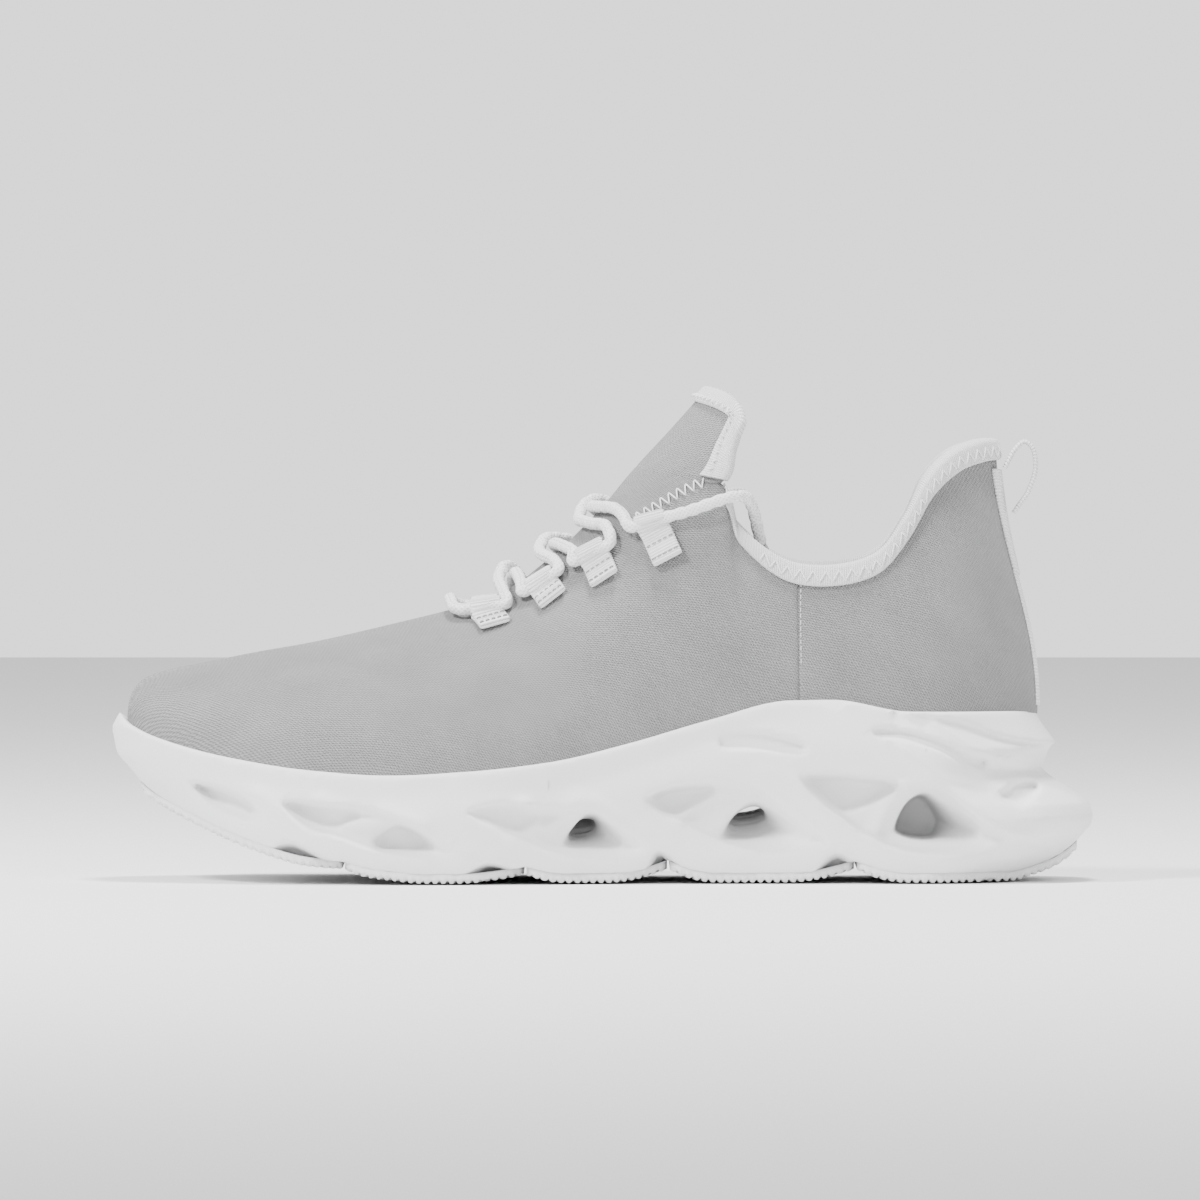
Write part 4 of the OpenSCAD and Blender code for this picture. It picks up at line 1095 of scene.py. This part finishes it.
def tongue_binding():
    """Tape round the tongue's free edge, and the zigzag sewn along it."""
    share, low, n = 0.17, 0.03, 70
    rise, over = np.linspace(low, 1, n), np.linspace(1, -1, 90)[1:-1]
    u = np.concatenate([rise, np.ones(len(over)), rise[::-1]])
    f = np.concatenate([np.ones(n), over, -np.ones(n)])
    lap_u, lap_f = np.minimum(u, 1 - share), np.clip(f, -1 + share, 1 - share)
    edge = tongue_point(u, f, KNIT_T / 2)
    out = unit(edge - tongue_point(lap_u, lap_f, KNIT_T / 2))
    out = unit(np.stack([averaged(column, 5) for column in out.T], axis=1))

    def lapped(e, depth):
        return tongue_point(u + (lap_u - u) * e, f + (lap_f - f) * e, depth)

    def face(h, bulge):
        def front(e):
            return lapped(e, -h - GAP - bulge * math.sin(math.pi * e))

        def rim(a):
            depth = KNIT_T / 2 - (KNIT_T / 2 + GAP + h) * math.cos(a)
            return tongue_point(u, f, depth) + out * (h + GAP + 0.5) * math.sin(a)

        def back(e):
            return lapped(e, KNIT_T + h + GAP + bulge * math.sin(math.pi * e))

        return folded(front, rim, back, 8)

    tape = shell("tongue_tape", face(BIND_T, 0.2), face(0.0, 0.0), TAPE)
    mid = lapped(0.62, -GAP - BIND_T - 0.2)
    side = unit(edge - mid)
    normal = unit(np.cross(np.gradient(mid, axis=0), side))
    outward = lapped(0.62, -3) - mid
    normal *= np.sign((normal * outward).sum(1))[:, None]
    return tape, zigzag(mid[3:-3], side[3:-3], normal[3:-3], 1.3, 2.6, 0.2)


rooted(tongue_flap(), "knit", "tongue_flap")
tongue_tape, tongue_stitch = tongue_binding()
rooted(tongue_tape, "binding", "tongue_binding")
rooted(thread("tongue_stitching", [tongue_stitch], 0.24), "binding")


# ---- Heel tape and pull loop ----------------------------------------------

def heel_tape():
    """Webbing up the back of the heel, thicker where the pull loop starts."""
    q = np.linspace(0.12, 0.93, 90)
    s = HEEL + np.linspace(-0.6, 0.6, 17)
    thick = np.where(q > 0.6, 1.4, 0.7)[None, :] * np.ones((len(s), 1))
    thick *= (0.45 + 0.55 * np.sqrt(1 - np.abs(np.linspace(-1, 1, 17)) ** 8))[:, None]
    outer = np.swapaxes(upper_surface(s, q, -thick), 0, 1)
    inner = np.swapaxes(upper_surface(s, q, -0.08), 0, 1)
    return shell("heel_tape_strip", outer[:, ::-1], inner[:, ::-1], WEBBING)


settle(heel_tape(), "shoe", "webbing", "heel_tape")


LOOP_ROUTE = [(124.9, 127.2), (126, 129.4), (127.8, 132.6), (130.9, 135.3), (133.8, 132.6),
              (134.3, 126.2), (132.1, 119.8), (129.4, 115.8), (127.6, 113.2)]  # x, z
LOOP_W = 11
LOOP_T = 1.4


def pull_loop():
    """One turn of webbing whose ends are sewn to the heel tape."""
    line = resampled(smooth_open(LOOP_ROUTE, 8), 90)
    along = unit(np.gradient(line, axis=0))
    normal = np.stack([-along[:, 1], along[:, 0]], 1)
    e = np.linspace(-1, 1, 19)
    edge = np.sqrt(np.maximum(1 - np.abs(e) ** 6, 0.05))

    def face(offset):
        flat = line[:, None] + normal[:, None] * offset[None, :, None]
        return np.insert(flat, 1, LOOP_W / 2 * e, axis=2)

    half = LOOP_T / 2 * edge
    return shell("pull_webbing", face(half), face(-half), WEBBING)


loop_piece = pull_loop()
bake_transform(loop_piece)
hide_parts("heel_pull_loop")


# ---- Lacing ---------------------------------------------------------------

TAB_PLACES = [  # station, height on it, length of the tail
    (6.5, 0.95, 9.4), (7.53, 0.94, 9), (8.3, 0.93, 10.5), (9.15, 0.91, 13.4)]
LACE_D = 3.8
TAB_R = LACE_D / 2 + 0.15
TAB_T = 0.9
TAB_W = 9.8
TAB_RIB = 1.05
TAB_LEAN = (17, 12, 8, 14)  # degrees that each tab's tail turns back from its loop
LACE_ROUTE = [
    (49.2, -17.8, 104), (48, -19.6, 109.5), (46.8, -22.8, 114.5), (44.5, -27.8, 118.4),
    (40, -32.3, 118.6), (34, -33, 116.8), (27.5, -32.6, 114.5),
    (21.1, -30.7, 112.7), (15.1, -29.1, 111), (9, -27.6, 109.3),
    (6.4, -22.2, 112.9), (3.5, -17.4, 115), (-1.3, -8.9, 115.3), (-3, 0.1, 115.2),
    (-2.2, 7.9, 114.3), (0.1, 14.9, 112.2), (2.1, 20.4, 108.9),
    (3, 24.9, 104), (-2.9, 23.3, 101.6), (-8.7, 21.7, 99.2),
    (-9.6, 19.2, 104), (-13.6, 15.8, 105.2), (-17.6, 10.6, 105), (-19.4, 5, 102.2),
    (-19.2, -2, 101), (-17.6, -9, 100), (-15, -15.6, 98.9),
    (-13.6, -21, 95.9), (-18.9, -19.6, 92.5), (-24.3, -18.3, 89.2),
    (-25, -13.5, 91.8), (-26, -6, 94), (-26.8, 2, 94.6), (-27.6, 10, 92.6),
    (-28.8, 16.5, 89),
    (-29.4, 21, 85.2), (-35.9, 20.7, 84.6), (-42.3, 20.5, 84),
    (-45.6, 16.5, 85), (-46.8, 9, 86.2), (-47, 0, 86.6), (-46.6, -8, 85.8),
    (-45.6, -14.5, 84.2),
    (-42.5, -17.6, 83.7), (-36, -18, 84.6), (-29.6, -18.3, 85.6),
    (-30.4, -14.4, 88.8), (-31.6, -6.5, 91.2), (-32, 0.5, 92.4), (-31.9, 5.5, 93.6),
    (-30.2, 10, 96.6), (-27.4, 14, 95.6), (-25.2, 17, 92.6),
    (-24.4, 19.1, 89.5), (-18.8, 20.4, 92.5), (-13.2, 21.7, 95.6),
    (-12.9, 17.9, 98.9), (-13.6, 12.8, 101.5), (-14.6, 7.3, 103), (-14.8, 1, 103.6),
    (-13.8, -6.2, 103.7), (-11.4, -13, 102.9), (-8.9, -19.2, 101.6),
    (-8.7, -22.6, 98.7), (-3.2, -24.6, 101.6), (2.4, -26.5, 104.4),
    (1.2, -21.6, 109.4), (-2.9, -15.1, 110.1), (-6, -7.8, 110.8), (-7, 0.4, 111),
    (-6.9, 5.4, 112.4), (-5.6, 10.2, 115.4), (-1.6, 15.6, 117.2), (4.4, 20.8, 114.8),
    (9, 24.5, 109.3), (15.2, 26, 110.9), (21.3, 27.5, 112.4),
    (27.5, 29.4, 114.5), (34, 29.8, 116.8), (40, 29.2, 118.6), (44.5, 24.9, 118.4),
    (46.8, 20.4, 114.5), (48, 17.4, 109.5), (49.2, 15.8, 104)]


def braid_material():
    """Round braid: two sets of yarns that cross round the cord."""
    m = Nodes("braid", 0.85, sheen=0.15, specular=0.2)
    _, u, v = m.weave()
    right = m.wave(m.math("ADD", u, v), 1.5)
    left = m.wave(m.math("SUBTRACT", u, v), 1.5)
    height = m.math("MAXIMUM", right, left)
    m.colour(height, (0.64, 0.64, 0.65), (0.87, 0.87, 0.87))
    m.bump(height, 0.6, 0.25)
    return m.material


BRAID = braid_material()
YARN_PITCH = 4.2
YARN_RISE = 0.16


def lace():
    """The cord along its route, with its yarns standing up a little."""
    step, sides = ((0.42, 32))
    smooth = smooth_open(LACE_ROUTE, 10)
    count = int(lengths_along(smooth)[-1] / step)
    line = resampled(smooth, count)
    tangent = unit(np.gradient(line, axis=0))
    normal = np.zeros_like(line)
    carried = np.array([0.0, 0.3, 1.0])
    for i, t in enumerate(tangent):
        carried = carried - t * (carried @ t)
        carried /= np.linalg.norm(carried)
        normal[i] = carried
    side = np.cross(tangent, normal)
    turn, along = turns(sides), lengths_along(line)[:, None]
    twist = along * (2 * math.pi / YARN_PITCH)
    yarns = np.maximum(np.cos(2 * turn[None, :] + twist), np.cos(2 * turn[None, :] - twist))
    radius = LACE_D / 2 - YARN_RISE + YARN_RISE * yarns
    points = rings_round(line, normal, side, turn, radius[..., None]).reshape(-1, 3)
    uv = np.stack([np.broadcast_to(along, (count, sides)),
                   np.broadcast_to(turn[None, :] * LACE_D / 2, (count, sides))], -1)
    return make_mesh("lace_braid", points, tube_faces(count, sides), BRAID, uv.reshape(-1, 2))


settle(lace(), "shoe", "lace", "lace")
AGLET = plain_material("aglet_film", 0.30, 0.36, 0.35)
AGLET_LEAN = (4.2, 1.2, -9)
AGLET_PROFILE = [(0, 0.2), (0, 1.45), (0.4, 1.7), (1.2, 1.62), (1.6, 1.7), (11.8, 1.7),
                 (12.5, 1.55), (12.9, 1.1), (13, 0.2)]  # length, radius


def aglet(name, at_start):
    """A stiff tip: a tube with a rounded end and a crimped rim."""
    route = np.array(LACE_ROUTE if at_start else LACE_ROUTE[::-1], float)
    lean = np.array(AGLET_LEAN) * [1, 1 if at_start else -1, 1]
    d = unit(lean)
    start = route[0] + d * 0.1 + unit(route[0] - route[1]) * 0.8
    x = unit(np.cross(ACROSS, d))
    y = np.cross(d, x)
    turn = turns(24)
    rows = [start + d * a + r * (x * np.cos(turn)[:, None] + y * np.sin(turn)[:, None])
            for a, r in AGLET_PROFILE]
    faces = tube_faces(len(rows), len(turn), flip=False)
    return make_mesh(name, np.concatenate(rows), faces, AGLET)


settle(aglet("aglet_tip_lateral", True), "shoe", "aglet", "aglet_lateral")
settle(aglet("aglet_tip_medial", False), "shoe", "aglet", "aglet_medial")


def tab_frame(k, medial):
    """Origin of a lace loop on the knit, its way down, its normal and its way across."""
    s, q, _ = TAB_PLACES[k]
    s = AROUND - s if medial else s
    at = [on_nets(nets_at(s + d), [q, q - STEP])[0] for d in (-STEP, 0, STEP)]
    normal = unit(np.cross(at[2][0] - at[0][0], at[1][0] - at[1][1]))
    down = at[1][1] - at[1][0]
    down = unit(down - normal * (down @ normal))
    return at[1][0] + normal * 0.1, down, normal, np.cross(down, normal)


def lace_loop(k, medial):
    """Ribbed webbing folded round the lace, its two ends sewn down one on the other."""
    origin, down, normal, across = tab_frame(k, medial)
    tail = TAB_PLACES[k][2]
    r = TAB_R + TAB_T
    outer = [(tail, 0.12), (tail * 0.5, 0.12), (0.8, 0.1), (0, 0.02)]
    outer += [(-r * math.sin(a), r - r * math.cos(a)) for a in np.linspace(0.15, 2.3, 16)]
    outer += [(0.4, 2 * r - 0.9), (1.9, 2 * r - 2.1), (3.2, 2.15), (tail * 0.6, 1.95),
              (tail, 1.85)]
    outer = resampled(smooth_open(outer, 6), 150)
    along = unit(np.gradient(outer, axis=0))
    inward = np.stack([along[:, 1], -along[:, 0]], 1)
    phase = 2 * math.pi * lengths_along(outer) / TAB_RIB
    rib = 0.14 * np.sin(phase)
    e = np.linspace(-1, 1, 23)
    edge = 0.45 * (1 - np.sqrt(np.maximum(1 - np.abs(e) ** 8, 0)))
    half = TAB_W / 2 * (1 - 0.03 * np.cos(phase) * 0.5)
    lean = math.radians(TAB_LEAN[k]) * (1 if medial else -1)

    def placed(drop, wide, lift):
        """Points of the tab, with its tail turned back from the loop."""
        turn = lean * smoothstep(0.4, 3.5, drop)
        low = drop * np.cos(turn) - wide * np.sin(turn)
        aside = drop * np.sin(turn) + wide * np.cos(turn)
        return (origin + down * low[..., None] + across * aside[..., None]
                + normal * lift[..., None])

    def layer(depth):
        depth = np.broadcast_to(depth, (len(outer), len(e)))
        flat = outer[:, None] + inward[:, None] * depth[..., None]
        return placed(flat[..., 0], half[:, None] * e[None, :], flat[..., 1])

    face = layer(edge[None, :] - rib[:, None] * (1 - np.abs(e) ** 12)[None, :])
    back = layer(TAB_T - edge[None, :] * 0.8)
    side_name = "medial" if medial else "lateral"
    settle(shell(f"tab_{side_name}_{k + 1}", face, back, WEBBING),
           "shoe", "webbing", f"lace_loop_{side_name}_{k + 1}")
    rows = []
    for drop in (tail * 0.52, tail * 0.86):
        i = int(np.argmin(np.abs(outer[:, 0] - drop) + 50 * (outer[:, 1] < 1.5)))
        t = np.linspace(-1, 1, 7)
        for x in np.arange(-TAB_W / 2 + 1.1, TAB_W / 2 - 0.7, 1.9):
            rows.append(placed(outer[i, 0] + 0 * t, x + 0.62 * t,
                               outer[i, 1] + 0.30 - 0.5 * t ** 4))
    # the stitches take the dark thread, a painted shadow of their holes
    settle(thread(f"tab_stitches_{side_name}_{k + 1}", rows, 0.2, material=PAINTED_SHADOW_THREAD),
           "shoe", "webbing")


for medial in (False, True):
    for k in range(len(TAB_PLACES)):
        lace_loop(k, medial)


def seam_stitch():
    """Zigzag along the foot of the gusset, behind the last lace loop and up to the tongue."""
    routes = []
    for start, end in ((8.83, 10.0), (7.95, 8.12)):
        s = np.linspace(start, end, 60)
        q = 1.03 + 0.06 * (s - start) / (end - start)
        for station in (s, AROUND - s):
            each, nets = range(len(s)), nets_at(station)
            mid, above = (on_nets(nets, v)[each, each] for v in (q, q + 0.03))
            along = unit(np.gradient(mid, axis=0))
            normal = unit(np.cross(along, above - mid))
            normal *= np.sign((normal * (mid - [30, 0, 70])).sum(1))[:, None]
            rise = unit(np.stack([-along[:, 2], 0 * along[:, 0], along[:, 0]], 1))
            tilt = np.clip(-(normal * rise).sum(1) / normal[:, 1], -1.4, 1.4)
            side = rise + tilt[:, None] * ACROSS
            routes.append(zigzag(mid, side, normal, 1.75, 2.9, 0.45))
    return routes


settle(thread("throat_stitching", seam_stitch(), 0.26), "shoe", "binding")


def panel_stitch():
    """A fine row of stitches beside the seam behind the arch."""
    routes = []
    q = np.linspace(0.34, 0.93, 130)
    beside = PANEL_SEAM + 0.045
    for s in (beside, AROUND - beside):
        line = upper_surface([s], q, -0.08)[0]
        far = lengths_along(line)
        routes += [picked(line, far, np.linspace(a, a + 1.3, 5))
                   for a in np.arange(1, far[-1] - 2, 2.0)]
    return routes


settle(thread("panel_stitching", panel_stitch(), 0.13, sides=5), "shoe", "knit")


# ---- Inside the shoe ------------------------------------------------------

def lining_material():
    """Knitted mesh of the lining."""
    m = Nodes("lining", 0.95, sheen=0.3, specular=0.15)
    _, u, v = m.weave()
    mesh = m.math("MULTIPLY", m.wave(u, 1.3), m.wave(v, 1.5))
    m.colour(mesh, (0.5, 0.5, 0.505), (0.7, 0.7, 0.705))
    m.bump(mesh, 0.5, 0.3)
    return m.material


LINING = lining_material()


def padded_lining():
    """The padded collar seen from inside: it swells between the heel cup and the edge."""
    s = np.linspace(11, AROUND - 11, 230)
    q = np.concatenate([np.linspace(0, 0.5, 16), np.linspace(0.5, 0.985, 40)[1:]])
    grid_s, grid_q = np.meshgrid(s, q, indexing="ij")
    depth = lining_depth(grid_s, grid_q)
    outer = upper_surface(s, q, depth + LINING_T)
    inner = upper_surface(s, q, KNIT_T + 0.1)
    return shell("collar_padding", outer[::-1], inner[::-1], LINING)


settle(padded_lining(), "shoe", "lining", "heel_lining", "collar_foam")


INSOLE_T = 3.8
INSOLE_LIFT = 0.35  # above the board
INSOLE_RIM = [(6.0, 0.0), (0.0, 0.0), (-0.35, 0.5), (-0.2, INSOLE_T * 0.6),
              (0.5, INSOLE_T - 0.3), (1.6, INSOLE_T)]  # step in from the edge, height


def insole():
    """A soft footbed with a rounded edge, inside the room that the upper leaves."""
    s = np.linspace(0, AROUND, 241)[:-1]
    behind = np.clip(np.minimum(s, AROUND - s) - 9, 0, 1)
    inset = 1.0 + KNIT_T + PUFF_T + (STIFFENER_T + LINING_T) * behind
    low = nets_at(s)[:, 0]
    along = unit(np.roll(low, -1, 0) - np.roll(low, 1, 0))
    inward = np.stack([-along[:, 1], along[:, 0]], 1)
    centre = low[:, :2].mean(0)
    inward *= np.sign((inward * (centre - low[:, :2])).sum(1))[:, None]
    edge = low[:, :2] + inward * inset[:, None]
    spine = np.stack([edge[:, 0] * 0.93 + 0.07 * centre[0], np.full(len(s), -1.0)], 1)
    rings = [(edge + inward * (step_in + 0.3), high) for step_in, high in INSOLE_RIM]
    rings += [(spine + (edge + inward * 1.9 - spine) * share, INSOLE_T)
              for share in np.linspace(0.94, 0.0, 14)]
    points = np.concatenate([np.c_[ring, foot(ring[:, 0]) + INSOLE_LIFT + high]
                             for ring, high in rings])
    faces = grid_faces(len(rings), len(s), closed=True).tolist()
    faces.append(list(range(len(s)))[::-1])
    return make_mesh("soft_insole", points, faces, LINING, points[:, :2])


settle(insole(), "insole", "insole", "insole")


# ---- Hidden pieces keep their own mesh ------------------------------------

STIFFENER = plain_material("stiffener", 0.42, 0.56, 0.8, 300)
FIBREBOARD = plain_material("fibreboard", 0.50, 0.64, 0.9, 400)
for node, material in (("toe_puff", STIFFENER), ("heel_counter", STIFFENER),
                       ("strobel_board", FIBREBOARD)):
    carried_over = bpy.data.objects[node]
    carried_over.data.materials.clear()
    carried_over.data.materials.append(material)


# ---- Room, light and camera -----------------------------------------------

def floor_material():
    """A pale matt floor."""
    m = Nodes("floor", 0.9, specular=0.1)
    place = m.place()
    m.colour(m.noise(place, 3, 1), (0.86, 0.86, 0.86), (0.88, 0.88, 0.88))
    return m.material


bpy.ops.mesh.primitive_plane_add(size=6, location=(0, 0, -0.0005))
floor = bpy.context.object
floor.name = "floor"
floor.data.materials.append(floor_material())

world = bpy.data.worlds.new("studio")
bpy.context.scene.world = world
world.use_nodes = True
backdrop = world.node_tree.nodes["Background"]
backdrop.inputs["Color"].default_value = (1, 1, 1, 1)
seen = world.node_tree.nodes.new("ShaderNodeLightPath").outputs["Is Camera Ray"]
brighter = world.node_tree.nodes.new("ShaderNodeMath")
brighter.operation = "MULTIPLY_ADD"
brighter.inputs[1].default_value = 0.7
brighter.inputs[2].default_value = 1.0
world.node_tree.links.new(seen, brighter.inputs[0])
world.node_tree.links.new(brighter.outputs[0], backdrop.inputs["Strength"])


def facing(place, target):
    """The rotation of a lamp or camera at one place that looks at another."""
    return (Vector(target) - Vector(place)).to_track_quat("-Z", "Y").to_euler()


def soft_light(name, place, size, power):
    """An area light that faces the shoe."""
    data = bpy.data.lights.new(name, "AREA")
    data.shape, data.size, data.energy = "DISK", size, power
    lamp = bpy.data.objects.new(name, data)
    bpy.context.scene.collection.objects.link(lamp)
    lamp.location = place
    lamp.rotation_euler = facing(place, (0, 0, 0.06))


soft_light("key", (-0.9, -0.7, 1.2), 0.35, 34)
soft_light("fill", (1.1, -1.3, 0.9), 0.9, 6)
soft_light("top", (0.1, 0.0, 1.6), 0.4, 36)

WIDE_MM = 372.0
AIM = (-0.0006, 0, 0.0862)
AWAY = 6.0
camera_data = bpy.data.cameras.new("main")
camera_data.lens = 36 * AWAY / (WIDE_MM * MM)
camera_data.clip_end = 20
camera = bpy.data.objects.new("main", camera_data)
bpy.context.scene.collection.objects.link(camera)
camera.location = (AIM[0], -AWAY * math.cos(0.02), AIM[2] + AWAY * math.sin(0.02))
camera.rotation_euler = facing(camera.location, AIM)
bpy.context.scene.camera = camera
